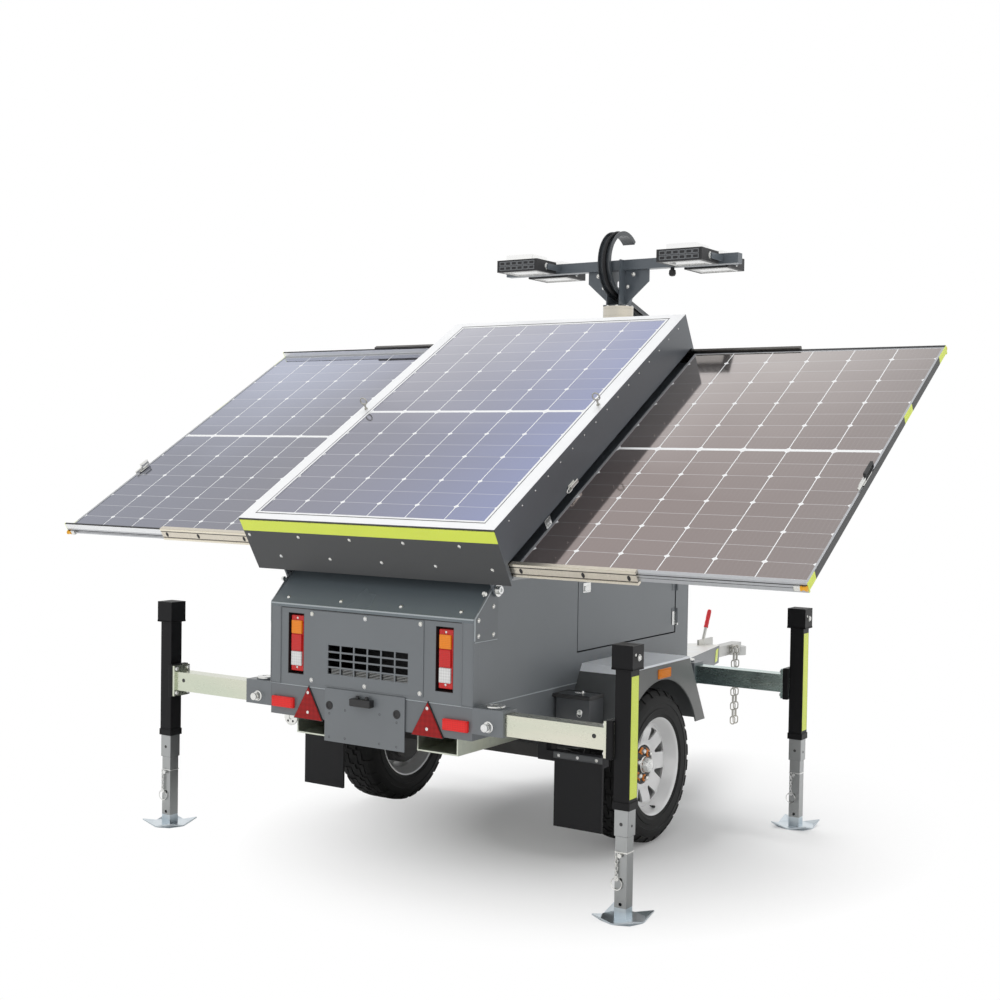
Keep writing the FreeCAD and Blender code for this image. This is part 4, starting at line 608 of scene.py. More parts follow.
red_lens = lamp_lens("red_lens", (0.66, 0.022, 0.020), shine=0.25)
amber_lens = lamp_lens("amber_lens", (0.95, 0.27, 0.010), shine=0.25)
clear_lens = lamp_lens("clear_lens", (0.78, 0.78, 0.77), 90)
black_plastic = moulded("black_plastic", (0.018, 0.018, 0.019))
LAMP_X, LAMP_FACE = 0.3705, -1.779
clusters = []
for side in SIDES.values():
    middle = side * LAMP_X + 0.001
    body = paint(block("lamp_body", (middle - 0.034, LAMP_FACE + 0.006, 0.752),
                       (middle + 0.034, -1.735, 0.980), 0.004),
                 red_lens)
    parts = [body]
    for low, high, lens_colour in ((0.905, 0.960, amber_lens), (0.835, 0.903, red_lens),
                                   (0.775, 0.833, clear_lens)):
        part = block("lamp_part", (middle - 0.028, LAMP_FACE - 0.002, low),
                     (middle + 0.026, LAMP_FACE + 0.010, high), 0.003)
        inlay(part, lambda at, way: way.y < -0.9, (0.003, 0), (0.001, -0.0006))
        parts.append(paint(part, lens_colour))
    for height in (0.768, 0.969):
        screw = turned("lamp_screw", (middle, LAMP_FACE + 0.006, height), "-y",
                       [(0.005, 0), (0.005, 0.002), (0.0035, 0.003), (0.003, 0.0015)], 14)
        parts.append(paint(screw, bright_zinc))
    clusters.append(one_piece("lamp_cluster", parts))
lamp_set = one_piece("tail_lamp_set", clusters)
fit(lamp_set, "chassis")
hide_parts("tail_lamps")
for side in SIDES.values():
    middle = side * LAMP_X
    low, high = Vector((middle - 0.0412, -1.7815, 0.742)), Vector((middle + 0.0412, -1.7325, 0.989))
    walls = [block("lamp_wall", (low.x, -1.7345, low.z), high, 0.0006, 1),
             block("lamp_wall", low, (low.x + 0.001, high.y, high.z), 0.0003, 1),
             block("lamp_wall", (high.x - 0.001, low.y, low.z), high, 0.0003, 1),
             block("lamp_wall", low, (high.x, high.y, low.z + 0.001), 0.0003, 1),
             block("lamp_wall", (low.x, low.y, high.z - 0.001), high, 0.0003, 1)]
    fit(one_piece("lamp_well_right" if side > 0 else "lamp_well_left", walls), "chassis",
        black_plastic)

# Markers: red side by side with red triangles with black edges, screwed to the rear beam, and an
# amber marker on each fender. All are moulded reflectors.
red_reflector = lamp_lens("red_reflector", (0.36, 0.014, 0.014), 45, 0.03, 0.12)
red_marker = lamp_lens("red_marker", (0.84, 0.024, 0.022), 130, 0.10, 0.2)
TRIANGLE_X, TRIANGLE_TALL, TRIANGLE_WIDE = 0.298, 0.134, 0.150
MARKER_X, SIDE_MARKER_X = 0.4305, 0.769
parts = []
for side in SIDES.values():
    for width, face, edge_finish in ((0.156, -1.786, black_plastic), (0.146, -1.7895, red_reflector)):
        alone()
        bpy.ops.mesh.primitive_circle_add(vertices=3, radius=width / math.sqrt(3), fill_type="NGON")
        part = bpy.context.object
        part.data.transform(Matrix.Scale(TRIANGLE_TALL / (0.866 * TRIANGLE_WIDE), 4, (0, 1, 0)))
        bpy.ops.object.mode_set(mode="EDIT")
        bpy.ops.mesh.select_all(action="SELECT")
        bpy.ops.mesh.extrude_region_move(TRANSFORM_OT_translate={"value": (0, 0, -0.006)})
        bpy.ops.mesh.select_all(action="SELECT")
        bpy.ops.mesh.normals_make_consistent(inside=False)
        bpy.ops.mesh.bevel(offset=0.0014, segments=2, affect="EDGES")
        bpy.ops.object.mode_set(mode="OBJECT")
        part.data.transform(Matrix.Translation((side * TRIANGLE_X, face, 0.6075)) @ FACING["-y"])
        parts.append(paint(part, edge_finish))
    for height in (0.592, 0.672):
        screw = turned("marker_screw", (side * TRIANGLE_X, -1.7893, height), "-y",
                       [(0.0065, 0), (0.0065, 0.0012), (0.005, 0.002), (0.0035, 0.002), (0.003, 0.0005)], 16)
        parts.append(paint(screw, bright_zinc))
    lamp_box = paint(block("marker", (side * MARKER_X - 0.058, -1.7965, 0.599),
                           (side * MARKER_X + 0.058, -1.781, 0.643), 0.004, 3),
                     red_marker)
    inlay(lamp_box, lambda at, way: way.y < -0.9, (0.006, 0), (0.001, -0.001))
    parts.append(lamp_box)
    for reach in (-0.050, 0.050):
        screw = turned("marker_screw", (side * MARKER_X + reach, -1.7965, 0.621), "-y",
                       [(0.004, -0.001), (0.004, 0.0002), (0.002, 0.0004), (0.002, -0.001)], 12)
        parts.append(paint(screw, black_plastic))
    amber = paint(block("side_marker", (side * SIDE_MARKER_X - 0.0042, -0.774, 0.7065),
                        (side * SIDE_MARKER_X + 0.0042, -0.658, 0.748), 0.0035, 3),
                  amber_lens)
    inlay(amber, lambda at, way: abs(way.x) > 0.9, (0.004, 0))
    parts.append(amber)
marker_set = one_piece("marker_set", parts)
fit(marker_set, "chassis")
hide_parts("markers")

# Plate carrier: a folded steel plate under the hatch for a registration plate, which is left bare,
# with a black lamp that lights it, two rubber plugs and small drilled holes.
dress(body_grey, "plate_carrier")
CARRIER = -1.788
shroud = block("shroud", (-0.063, CARRIER - 0.030, 0.646), (0.040, CARRIER + 0.001, 0.676), 0.004, 3)
pick(shroud, lambda at, way: way.z < -0.9)
bpy.ops.mesh.inset(thickness=0.004, depth=0)
bpy.ops.mesh.extrude_region_move(TRANSFORM_OT_translate={"value": (0, 0, 0.010)})
bpy.ops.object.mode_set(mode="OBJECT")
nubs = [turned("nub", (x, CARRIER - 0.012, 0.674), "z",
               [(0.008, 0), (0.008, 0.010), (0.006, 0.013), (0.003, 0.013)], 16)
        for x in (-0.034, 0.012)]
fit(one_piece("plate_lamp", [shroud] + nubs), "chassis", black_plastic)
plugs = [turned("plug", (x, CARRIER + 0.0005, z), "-y",
                [(0.0175, 0), (0.0175, 0.002), (0.015, 0.0035), (0.011, 0.0035), (0.010, 0.0015)], 28)
         for x, z in ((-0.186, 0.632), (0.152, 0.632))]
# The drilled holes are black discs: painted shade inside the holes.
holes = [turned("hole", (x, CARRIER + 0.0005, z), "-y",
                [(0.0045, 0), (0.0045, 0.0008), (0.0035, 0.0010), (0.003, 0.0002)], 14)
         for x, z in ((-0.105, 0.620), (0.068, 0.623), (-0.105, 0.507), (0.068, 0.507), (-0.186, 0.600),
                      (0.152, 0.600), (-0.186, 0.505), (0.152, 0.505))]
fit(one_piece("carrier_plugs", plugs + holes), "chassis", black_plastic)

# Fork pockets: two rectangular steel tubes through the chassis, hot dipped, with pale sawn ends.
dipped_zinc = plated("dipped_zinc", (0.62, 0.66, 0.60), 0.36, (0.70, 0.72, 0.58), spangle=0.35)
dress(dipped_zinc, "fork_pockets")


# Doors: one sheet steel door on each side of the cabinet, in a black rubber gap, on a zinc hinge
# leaf, with a small paddle latch.
dress(body_grey, "door_right", "door_left")
for tag, side in SIDES.items():
    leaf = block("leaf", (0.5015, -0.118, 1.060), (0.5060, -0.083, 1.124), 0.001)
    knuckle = turned("knuckle", (0.509, -0.080, 1.058), "z",
                     [(0.006, 0), (0.0065, 0.001), (0.0065, 0.067), (0.006, 0.068)], 16)
    screws = [turned("screw", (0.506, -0.104, z), "x", [(0.0045, 0), (0.004, 0.0012), (0.002, 0.0014)], 12)
              for z in (1.072, 1.092, 1.112)]
    low_leaf = [again(part, Matrix.Translation((0, 0, -0.200))) for part in (leaf, knuckle, *screws)]
    hinge = one_piece(f"door_hinge_{tag}", [leaf, knuckle, *screws, *low_leaf])
    to_side(hinge, side)
    fit(hinge, f"door_{tag}", bright_zinc)
    paddle = block("paddle", (0.5015, -0.962, 1.070), (0.5050, -0.900, 1.112), 0.001)
    pull = block("pull", (0.5050, -0.954, 1.076), (0.5110, -0.908, 1.098), 0.003, 3)
    latch = one_piece(f"door_latch_{tag}", [paddle, pull])
    to_side(latch, side)
    fit(latch, f"door_{tag}", bright_zinc)


# Fenders: zinc coated steel tops folded over painted skirts, bolted to the chassis.
def capped(name, colour, cap, height):
    """Paint below a height, and above it a pale zinc top whose near-white colour is a painted reflection."""
    finish = Finish(name, colour, 0.32)
    top = finish.axes()[2] > height
    flake = finish.node("ShaderNodeRGBToBW", None, {"Color": finish.cells(38, out="Color")})
    cloud = finish.noise(2.3, 4)
    zinc = finish.mix(flake * 0.25, cap, shade(cap, 0.8))
    finish.set("Base Color", finish.mix(top, finish.mix(cloud, shade(colour, 0.9), shade(colour, 1.1)), zinc))
    finish.set("Roughness", 0.24 + cloud * 0.12)
    return finish.bump(finish.noise(500, 1) + cloud * 0.3, 0.0005, 0.2)


# The tops' near-white colour is a painted reflection of the bright room.
fender_zinc_and_sheen = capped("fender_zinc_and_sheen", (0.105, 0.110, 0.112), (0.93, 0.96, 1.00), 0.742)
dress(fender_zinc_and_sheen, "fenders")
skirt_grey = powder_coat("skirt_grey", (0.130, 0.132, 0.130), 0.30, 0.4)
for tag, side in SIDES.items():
    skirt = block("skirt", (0.7655, -1.122, 0.478), (0.7672, -0.303, 0.764), 0.0006, 1)
    alone(skirt)
    bpy.ops.object.mode_set(mode="EDIT")
    bpy.ops.mesh.select_all(action="SELECT")
    bpy.ops.mesh.bisect(plane_co=(0.766, -0.959, 0.764), plane_no=(0, -0.870, 0.493), clear_outer=True,
                        use_fill=True)
    bpy.ops.mesh.select_all(action="SELECT")
    bpy.ops.mesh.bisect(plane_co=(0.766, -0.466, 0.764), plane_no=(0, 0.870, 0.493), clear_outer=True,
                        use_fill=True)
    bpy.ops.object.mode_set(mode="OBJECT")
    arch = turned("arch", (0.740, -0.736, 0.328), "x", [(0.376, 0), (0.376, 0.06)], 96)
    cut_away(skirt, arch)
    edge_bead = turned("bead", (0.7648, -0.736, 0.328), "x",
                       [(0.3775, 0), (0.3775, 0.0028), (0.3735, 0.0028), (0.3735, 0)], 96)
    pick(edge_bead, lambda at, way: (Vector((at.y + 0.736, at.z - 0.328)).length < 0.30))
    bpy.ops.mesh.delete(type="FACE")
    bpy.ops.mesh.select_all(action="SELECT")
    bpy.ops.mesh.bisect(plane_co=(0.766, 0, 0.478), plane_no=(0, 0, -1), clear_outer=True, use_fill=False)
    bpy.ops.object.mode_set(mode="OBJECT")
    skirt = one_piece(f"fender_skirt_{tag}", [skirt, edge_bead])
    to_side(skirt, side)
    fit(skirt, "chassis", skirt_grey)


# Tyres: all terrain, with stepped side walls, four rows of siped blocks and shoulder lugs that
# reach down the side. Moulded rubber, a little dusty.
def rubber(name, colour, scale=14):
    """Moulded rubber: matt, a little worn and dusty."""
    finish = Finish(name, colour, 0.62, specular_ior_level=0.32)
    cloud = finish.noise(scale, 5)
    finish.set("Base Color", finish.mix(cloud, colour, shade(colour, 2.1)))
    finish.set("Roughness", 0.52 + cloud * 0.22)
    return finish.bump(finish.noise(220, 3), 0.0008, 0.3)


def ring_shut(piece):
    """Makes a turned part a ring: its two end discs go, and its last circle meets its first."""
    pick(piece, lambda at, way: abs(way.z) > 0.99 and math.hypot(at.x, at.y) < 0.05)
    bpy.ops.mesh.delete(type="FACE")
    bpy.ops.mesh.select_all(action="SELECT")
    bpy.ops.mesh.remove_doubles(threshold=0.0001)
    bpy.ops.mesh.select_mode(type="EDGE")
    bpy.ops.mesh.select_all(action="DESELECT")
    bpy.ops.mesh.select_non_manifold()
    bpy.ops.mesh.bridge_edge_loops()
    close()


tyre_rubber = rubber("tyre_rubber", (0.0045, 0.0045, 0.0045), 8)
WHEEL_X, WHEEL_Y, WHEEL_Z = 0.6525, -0.736, 0.328
TYRE_SIDES = 84
TREAD_FOOT = 0.3228
wall = [(0.198, -0.078), (0.206, -0.094), (0.222, -0.099), (0.2235, -0.1015), (0.246, -0.1022),
        (0.2475, -0.0998), (0.268, -0.0995), (0.2695, -0.1015), (0.286, -0.099), (0.300, -0.0945),
        (0.311, -0.086)]
tread = [(TREAD_FOOT - 0.003, -0.078), (TREAD_FOOT, -0.054), (TREAD_FOOT, -0.050), (TREAD_FOOT, -0.027),
         (TREAD_FOOT, -0.022), (TREAD_FOOT, -0.0025)]
half = wall + tread
section = half + [(radius, -height) for radius, height in reversed(half)]
section += [(0.196, 0.070), (0.196, -0.070)]
tyre = turned("tyre_right_rubber", (0, 0, 0), "z", section, TYRE_SIDES)
ring_shut(tyre)


def sector(at):
    return math.atan2(at.y, at.x) / (2 * math.pi) * TYRE_SIDES


def lug(at, way):
    """The faces that become tread blocks: shoulder, middle and centre rows, each staggered."""
    count = int(math.floor(sector(at)))
    across = abs(at.z)
    if Vector((at.x, at.y)).length < 0.300:
        return False
    if across > 0.053:
        return (count + (1 if at.z > 0 else 0)) % 3 != 0 and across < 0.093
    if 0.026 < across < 0.051:
        return (count + (2 if at.z > 0 else 0)) % 3 != 1
    if across < 0.023:
        return (count + (1 if at.z > 0 else 0)) % 3 != 2
    return False


pick(tyre, lug)
bpy.ops.mesh.extrude_region_shrink_fatten(TRANSFORM_OT_shrink_fatten={"value": 0.0045})
bpy.ops.mesh.inset(thickness=0.0022, depth=0.0)
close()
farthest = max(Vector((corner.co.x, corner.co.y)).length for corner in tyre.data.vertices)
if farthest > WHEEL_Z - 0.0002:
    tyre.data.transform(Matrix.Diagonal(((WHEEL_Z - 0.0004) / farthest, (WHEEL_Z - 0.0004) / farthest, 1, 1)))
tyre.data.transform(Matrix.Translation((WHEEL_X, WHEEL_Y, WHEEL_Z)) @ FACING["x"])
smooth(tyre, 28)
fit(tyre, "wheel_right", tyre_rubber)
far_tyre = again(tyre, MIRROR, "tyre_left_rubber")
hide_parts("tyre_right")
fit(far_tyre, "wheel_left", tyre_rubber)
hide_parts("tyre_left")

# Wheels: pressed steel discs welded into rolled rims, silver painted, with eight tapered windows,
# six lug nuts with orange pointers, a chrome hub cap and a valve stem.
wheel_silver = Finish("wheel_silver", (0.80, 0.80, 0.80), 0.28, 0.30, coat_weight=0.3)
wheel_cloud = wheel_silver.noise(6, 4)
wheel_silver.set("Base Color", wheel_silver.mix(wheel_cloud, (0.72, 0.72, 0.72), (0.88, 0.88, 0.88)))
wheel_silver.set("Roughness", 0.24 + wheel_cloud * 0.16)
wheel_silver.bump(wheel_silver.noise(400, 1), 0.0003, 0.15)
orange_plastic = moulded("orange_plastic", (0.88, 0.24, 0.02), 0.4)
hub_black = powder_coat("hub_black", (0.016, 0.016, 0.017), 0.4, 0.2)
rim_section = [(0.1955, -0.078), (0.207, -0.086), (0.2095, -0.094), (0.208, -0.0965), (0.203, -0.0945),
               (0.199, -0.088), (0.192, -0.070), (0.176, -0.050), (0.172, 0.020), (0.178, 0.046),
               (0.190, 0.066), (0.197, 0.084), (0.203, 0.0930), (0.208, 0.0965), (0.2095, 0.094),
               (0.207, 0.086), (0.2010, 0.080), (0.1935, 0.066), (0.1815, 0.046), (0.1755, 0.020),
               (0.1795, -0.050), (0.1950, -0.070)]
rim = turned("rim", (0, 0, 0), "z", rim_section, 72)
ring_shut(rim)
disc = turned("disc", (0, 0, 0), "z",
              [(0.180, 0.030), (0.1795, 0.040), (0.172, 0.046), (0.160, 0.0500), (0.148, 0.0500),
               (0.118, 0.0395), (0.100, 0.0330), (0.092, 0.0300), (0.084, 0.0300), (0.084, 0.0220),
               (0.100, 0.0240), (0.118, 0.0300), (0.148, 0.0410), (0.165, 0.0380), (0.176, 0.030)], 96)
ring_shut(disc)
cutters = []
for step in range(8):
    turn = math.radians(45 * step + 22.5)
    window = block("window", (0.108, -0.025, 0.0), (0.160, 0.025, 0.08), 0.006, 1)
    for corner in window.data.vertices:
        corner.co.y *= 0.22 + 0.95 * (corner.co.x - 0.108) / 0.052
    window.data.transform(Matrix.Rotation(turn, 4, "Z"))
    cutters.append(window)
cut_away(disc, one_piece("cutter", cutters))
smooth(rim, 40)
smooth(disc, 30)
paint(rim, wheel_silver)
paint(disc, wheel_silver)
hub = paint(turned("hub", (0, 0, 0), "z", [(0.082, -0.05), (0.082, 0.024), (0.078, 0.0285), (0.060, 0.0300),
                                           (0.055, 0.0300)], 40), hub_black)
drum = paint(turned("drum", (0, 0, 0), "z",
                    [(0.140, -0.070), (0.150, -0.066), (0.150, -0.010), (0.144, -0.004), (0.110, 0.0)], 48),
             hub_black)
cap = paint(turned("cap", (0, 0, 0), "z", [(0.036, 0.026), (0.036, 0.038), (0.032, 0.041), (0.0305, 0.060),
                                           (0.026, 0.0660), (0.012, 0.0675)], 32),
            bright_zinc)
chrome_parts = [rim, disc, hub, drum, cap]
for step in range(6):
    turn = Matrix.Rotation(math.radians(60 * step + 12), 4, "Z")
    nut = turned("nut", (0.061, 0, 0.029), "z", [(0.0135, 0), (0.0135, 0.003), (0.0105, 0.004),
                                                 (0.0105, 0.017), (0.008, 0.021), (0.004, 0.022)], 6, 25)
    nut.data.transform(turn)
    chrome_parts.append(paint(nut, bright_zinc))
    pointer = turned("pointer", (0.061, 0, 0.0305), "z", [(0.0155, 0), (0.0155, 0.003), (0.0145, 0.0035)], 18)
    arrow = block("arrow", (0.073, -0.006, 0.0305), (0.092, 0.006, 0.0335), 0.0008, 1)
    for corner in arrow.data.vertices:
        if corner.co.x > 0.085:
            corner.co.y *= 0.12
    arrow.data.transform(Matrix.Translation((0.061, 0, 0)) @ Matrix.Rotation(math.radians(80), 4, "Z")
                         @ Matrix.Translation((-0.061, 0, 0)))
    for part in (pointer, arrow):
        part.data.transform(turn)
        chrome_parts.append(paint(part, orange_plastic))
stem = turned("stem", (0.183, 0.030, 0.046), "z",
              [(0.004, 0), (0.004, 0.018), (0.0055, 0.019), (0.0055, 0.030), (0.003, 0.032)], 12)
chrome_parts.append(paint(stem, black_plastic))
wheel = one_piece("rim_right_steel", chrome_parts)
wheel.data.transform(Matrix.Translation((WHEEL_X, WHEEL_Y, WHEEL_Z)) @ FACING["x"])
fit(wheel, "wheel_right")
far_wheel = again(wheel, MIRROR, "rim_left_steel")
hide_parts("rim_right")
fit(far_wheel, "wheel_left")
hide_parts("rim_left")


# Outriggers: square zinc arms that slide out of the chassis, with a flange bolted to a black plate
# on each leg tube. The tube has a black cap, safety tape on its outer face and a zinc drop leg
# with a ring pin, on a square foot with turned up corners.
ARM_ENDS = {"rear_right": (1, -1.733), "rear_left": (-1, -1.733),
            "front_right": (1, -0.104), "front_left": (-1, -0.104)}
LEG_X = 1.131
arm_zinc = plated("arm_zinc", (0.74, 0.70, 0.60), 0.24, (0.50, 0.58, 0.46), stretch=(0.25, 1.4, 1.4))
# The front arms wear a darker, bluer copy of the same zinc: painted shade, as they are the same parts as the
# rear arms.
arm_zinc_painted_shade = plated("arm_zinc_painted_shade", (0.40, 0.60, 0.62), 0.24, (0.50, 0.55, 0.48), stretch=(0.25, 1.4, 1.4))
leg_zinc = plated("leg_zinc", (0.36, 0.38, 0.38), 0.30, (0.46, 0.45, 0.41), stretch=(1.4, 1.4, 0.25))
# Below 0.045 m the foot is painted paler and bluer than the leg: a painted highlight on the foot's upward
# face.
foot_height = leg_zinc.axes()[2]
leg_zinc.set("Base Color", leg_zinc.mix(foot_height < 0.045, (0.38, 0.39, 0.39), (0.66, 0.72, 0.76)))
leg_black = powder_coat("leg_black", (0.006, 0.006, 0.007), 0.42, 0.03, 0.18)


def reflective_tape(name, colour):
    """Fluorescent tape: small sealed cells under a clear face, and a slight glow."""
    finish = Finish(name, colour, 0.30, ior=1.5)
    rim_of_cell = finish.cells(260, "DISTANCE_TO_EDGE") < 0.07
    wave = finish.noise(5, 2)
    tone = finish.mix(wave, shade(colour, 0.93), shade(colour, 1.05))
    finish.set("Base Color", finish.mix(rim_of_cell * 0.35, tone, shade(colour, 0.8)))
    finish.set("Roughness", 0.26 + rim_of_cell * 0.2)
    finish.set("Emission Color", colour)
    finish.set("Emission Strength", 0.10)
    return finish.bump(rim_of_cell, 0.0002, 0.3)


TAPE_YELLOW = (0.64, 0.74, 0.075)
safety_tape = reflective_tape("safety_tape", TAPE_YELLOW)

pin_ring = turned("pin_ring", (0, 0, 0), "z",
                  [(0.020, -0.0016), (0.0225, -0.0016), (0.0232, 0), (0.0225, 0.0016), (0.020, 0.0016),
                   (0.0193, 0)], 28)
ring_shut(pin_ring)
pin_ring.data.transform(FACING["y"])
pin_ring.data.transform(Matrix.Translation((0, -0.056, -0.020)))
pin_shank = turned("pin_shank", (0, -0.058, 0), "y",
                   [(0.0095, 0), (0.0095, 0.010), (0.006, 0.012), (0.006, 0.020)], 18)
ring_pin = paint(one_piece("ring_pin", [pin_ring, pin_shank]), bright_zinc)
ring_pin.hide_render = True


def hoop(name, radius, wire, turn=Matrix.Identity(4), around=20):
    """A ring of round wire in the XY plane, then turned and stretched."""
    alone()
    bpy.ops.mesh.primitive_torus_add(major_segments=around, minor_segments=8, major_radius=radius,
                                     minor_radius=wire)
    piece = bpy.context.object
    piece.name = name
    bpy.ops.object.mode_set(mode="EDIT")
    close()
    piece.data.transform(turn)
    return smooth(piece, 60)


link = paint(hoop("link", 0.0062, 0.0015, Matrix.Diagonal((0.85, 1.5, 1.0, 1.0)), 14), bright_zinc)
link.hide_render = True

for where, (side, y) in ARM_ENDS.items():
    dress(arm_zinc if y < -1 else arm_zinc_painted_shade, f"arm_{where}")
    dress(leg_black, f"leg_tube_{where}")
    dress(leg_zinc, f"leg_{where}")
    middle = side * LEG_X
    outward = OUTWARD[side]

    tape = block("tape", (0.0312, -0.027, 0.436), (0.0320, 0.027, 0.872), 0.0003, 1)
    inlay(tape, lambda at, way: way.x > 0.9, (0.002, 0))
    tape = one_piece(f"leg_tape_{where}", [tape])
    to_side(tape, side)
    tape.data.transform(Matrix.Translation((middle, y, 0)))
    fit(tape, f"arm_{where}", safety_tape)

    band = [block("band", (-0.0345, -0.0345, 0.396), (0.0345, 0.0345, 0.424), 0.002),
            block("cap_rim", (-0.0435, -0.0435, 0.894), (0.0435, 0.0435, 0.902), 0.002)]
    for part in band:
        inlay(part, lambda at, way: abs(way.z) < 0.1, (0.003, 0))
    cover = block("cap_cover", (-0.038, -0.038, 0.9815), (0.038, 0.038, 0.9830), 0.001)
    bands = one_piece(f"leg_bands_{where}", band + [cover])
    bands.data.transform(Matrix.Translation((middle, y, 0)))
    fit(bands, f"arm_{where}", leg_black)

    plate = block("bolster_rim", (side * 1.0865 - 0.0120, y - 0.047, 0.572),
                  (side * 1.0865 + 0.0120, y + 0.047, 0.712), 0.002)
    inlay(plate, lambda at, way: abs(way.x) > 0.9, (0.006, 0.0006))
    fit(one_piece(f"leg_plate_{where}", [plate]), f"arm_{where}", leg_black)

    nuts = [again(dome_bolt, Matrix.Translation((side * 1.063, y + across, high)) @ FACING[OUTWARD[-side]])
            for across in (-0.034, 0.034) for high in (0.590, 0.694)]
    nuts += [again(dome_bolt, Matrix.Translation((side * (LEG_X + 0.042), y + 0.006, 0.938)) @ FACING[outward]
                   @ Matrix.Scale(1.15, 4)),
             again(dome_bolt, Matrix.Translation((side * (LEG_X + 0.042), y - 0.020, 0.950)) @ FACING[outward]
                   @ Matrix.Scale(0.5, 4))]
    arm_face, facing = (y - 0.0350, "-y") if y < -1 else (y + 0.0350, "y")
    hole = turned("arm_hole", (side * 1.0191, arm_face, 0.648), facing,
                  [(0.0085, -0.0005), (0.0085, 0.0004), (0.0070, 0.0004), (0.0068, 0.0001)], 20)
    fit(one_piece(f"leg_bolts_{where}", nuts + [paint(hole, under_black)]), f"arm_{where}")

    sleeve = block("sleeve", (-0.0284, -0.0284, 0.3005), (0.0284, 0.0284, 0.3965), 0.002)
    inlay(sleeve, lambda at, way: way.z < -0.9, (0.0015, 0))
    sleeve.data.transform(Matrix.Translation((middle, y, 0)))
    eyes = [turned("eye", (middle, y - 0.0286, 0.345), "-y",
                   [(0.0065, -0.0005), (0.0065, 0.0004), (0.0052, 0.0004), (0.0050, 0.0001)], 16),
            turned("eye", (middle + side * 0.0286, y, 0.338), outward,
                   [(0.0050, -0.0005), (0.0050, 0.0004), (0.0040, 0.0004), (0.0038, 0.0001)], 16)]
    fit(one_piece(f"leg_sleeve_{where}",
                  [paint(sleeve, leg_zinc)] + [paint(eye, under_black) for eye in eyes]),
        f"arm_{where}")

    pinned = again(ring_pin, Matrix.Translation((middle - 0.014, y + 0.026, 0.150)), f"leg_pin_{where}")
    collar = block("collar", (-0.0262, -0.0262, 0.240), (0.0262, 0.0262, 0.246), 0.0015)
    collar.data.transform(Matrix.Translation((middle, y, 0)))
    through = turned("through", (middle, y - 0.034, 0.234), "y",
                     [(0.008, -0.004), (0.008, 0.002), (0.0055, 0.003), (0.0055, 0.066), (0.003, 0.068)], 16)
    worn = [paint(collar, bright_zinc), paint(through, bright_zinc), pinned]
    for step in range(7):
        spot = Vector((middle - 0.014, y - 0.032, 0.236 - step * 0.0125))
        worn.append(again(link, Matrix.Translation(spot) @ Matrix.Rotation(math.pi / 2, 4, "X")
                          @ Matrix.Rotation(math.radians(90 * (step % 2)), 4, "Y")))
    fit(one_piece(f"leg_pin_{where}", worn), f"leg_{where}")


# Arm sockets: square steel sleeves welded through the chassis, each with a clamp block, a zinc
# disc on its top and a spring plunger on its outer face.
dress(body_grey, "outrigger_sockets")
SOCKET_X = 0.575
for where, (side, y) in ARM_ENDS.items():
    disc_top = turned("disc_top", (side * SOCKET_X, y, 0.7005), "z",
                      [(0.0385, 0), (0.0385, 0.0045), (0.0365, 0.006), (0.020, 0.006), (0.019, 0.005)], 40)
    face, towards = (y - 0.049, "-y") if y < -1 else (y + 0.049, "y")
    plunger = turned("plunger", (side * SOCKET_X, face, 0.630), towards,
                     [(0.022, -0.006), (0.022, 0.002), (0.018, 0.005), (0.018, 0.012), (0.011, 0.013),
                      (0.011, 0.022), (0.015, 0.024), (0.015, 0.029), (0.008, 0.031)], 20)
    fit(one_piece(f"socket_fittings_{where}", [disc_top, plunger]), "chassis", bright_zinc)


# Stow box and mud flaps: a dark steel tool box behind the right wheel, with a pinned lid and a
# round lock, and rubber flaps behind both wheels, hung from steel brackets by three bolts.
box_grey = powder_coat("box_grey", (0.055, 0.060, 0.066), 0.38, 0.4)
flap_rubber = rubber("flap_rubber", (0.008, 0.008, 0.009))
dress(box_grey, "stow_box")
dress(flap_rubber, "mud_flaps")
low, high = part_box("stow_box")
lid = block("stow_lid", (low.x - 0.001, low.y - 0.001, high.z - 0.014),
            (high.x + 0.001, high.y + 0.001, high.z + 0.0005), 0.003)
inlay(lid, lambda at, way: way.z > 0.9, (0.008, 0), (0.003, -0.0015))
fit(lid, "chassis", under_black)
lock = turned("lock", (high.x - 0.045, low.y, 0.612), "-y",
              [(0.013, 0), (0.013, 0.003), (0.011, 0.005), (0.008, 0.005), (0.008, 0.0035)], 24)
clip = turned("clip", (high.x - 0.050, low.y + 0.030, high.z), "z",
              [(0.004, 0), (0.004, 0.012), (0.006, 0.013), (0.006, 0.018), (0.003, 0.019)], 14)
wire_loop = hoop("wire_loop", 0.0095, 0.0016,
                 Matrix.Translation((high.x - 0.066, low.y + 0.030, high.z + 0.010))
                 @ Matrix.Rotation(0.35, 4, "Z") @ Matrix.Diagonal((2.0, 0.9, 1, 1)))
key_ring = hoop("key_ring", 0.011, 0.0015, Matrix.Translation((high.x - 0.045, low.y - 0.004, 0.603))
                @ FACING["y"])
fit(one_piece("stow_lock", [lock, clip, wire_loop, key_ring]), "chassis", bright_zinc)
for tag, side in SIDES.items():
    holder = block("holder", (0.545, -1.2545, 0.425), (0.770, -1.2510, 0.452), 0.001)
    inlay(holder, lambda at, way: way.y < -0.9, (0.003, 0))
    to_side(holder, side)
    fit(holder, "chassis", box_grey)
    holder.name = f"flap_holder_{tag}"
    bolts(f"flap_bolts_{tag}", "chassis",
          [(side * x, -1.2545, 0.438) for x in (0.570, 0.6575, 0.745)], "-y", 0.6)


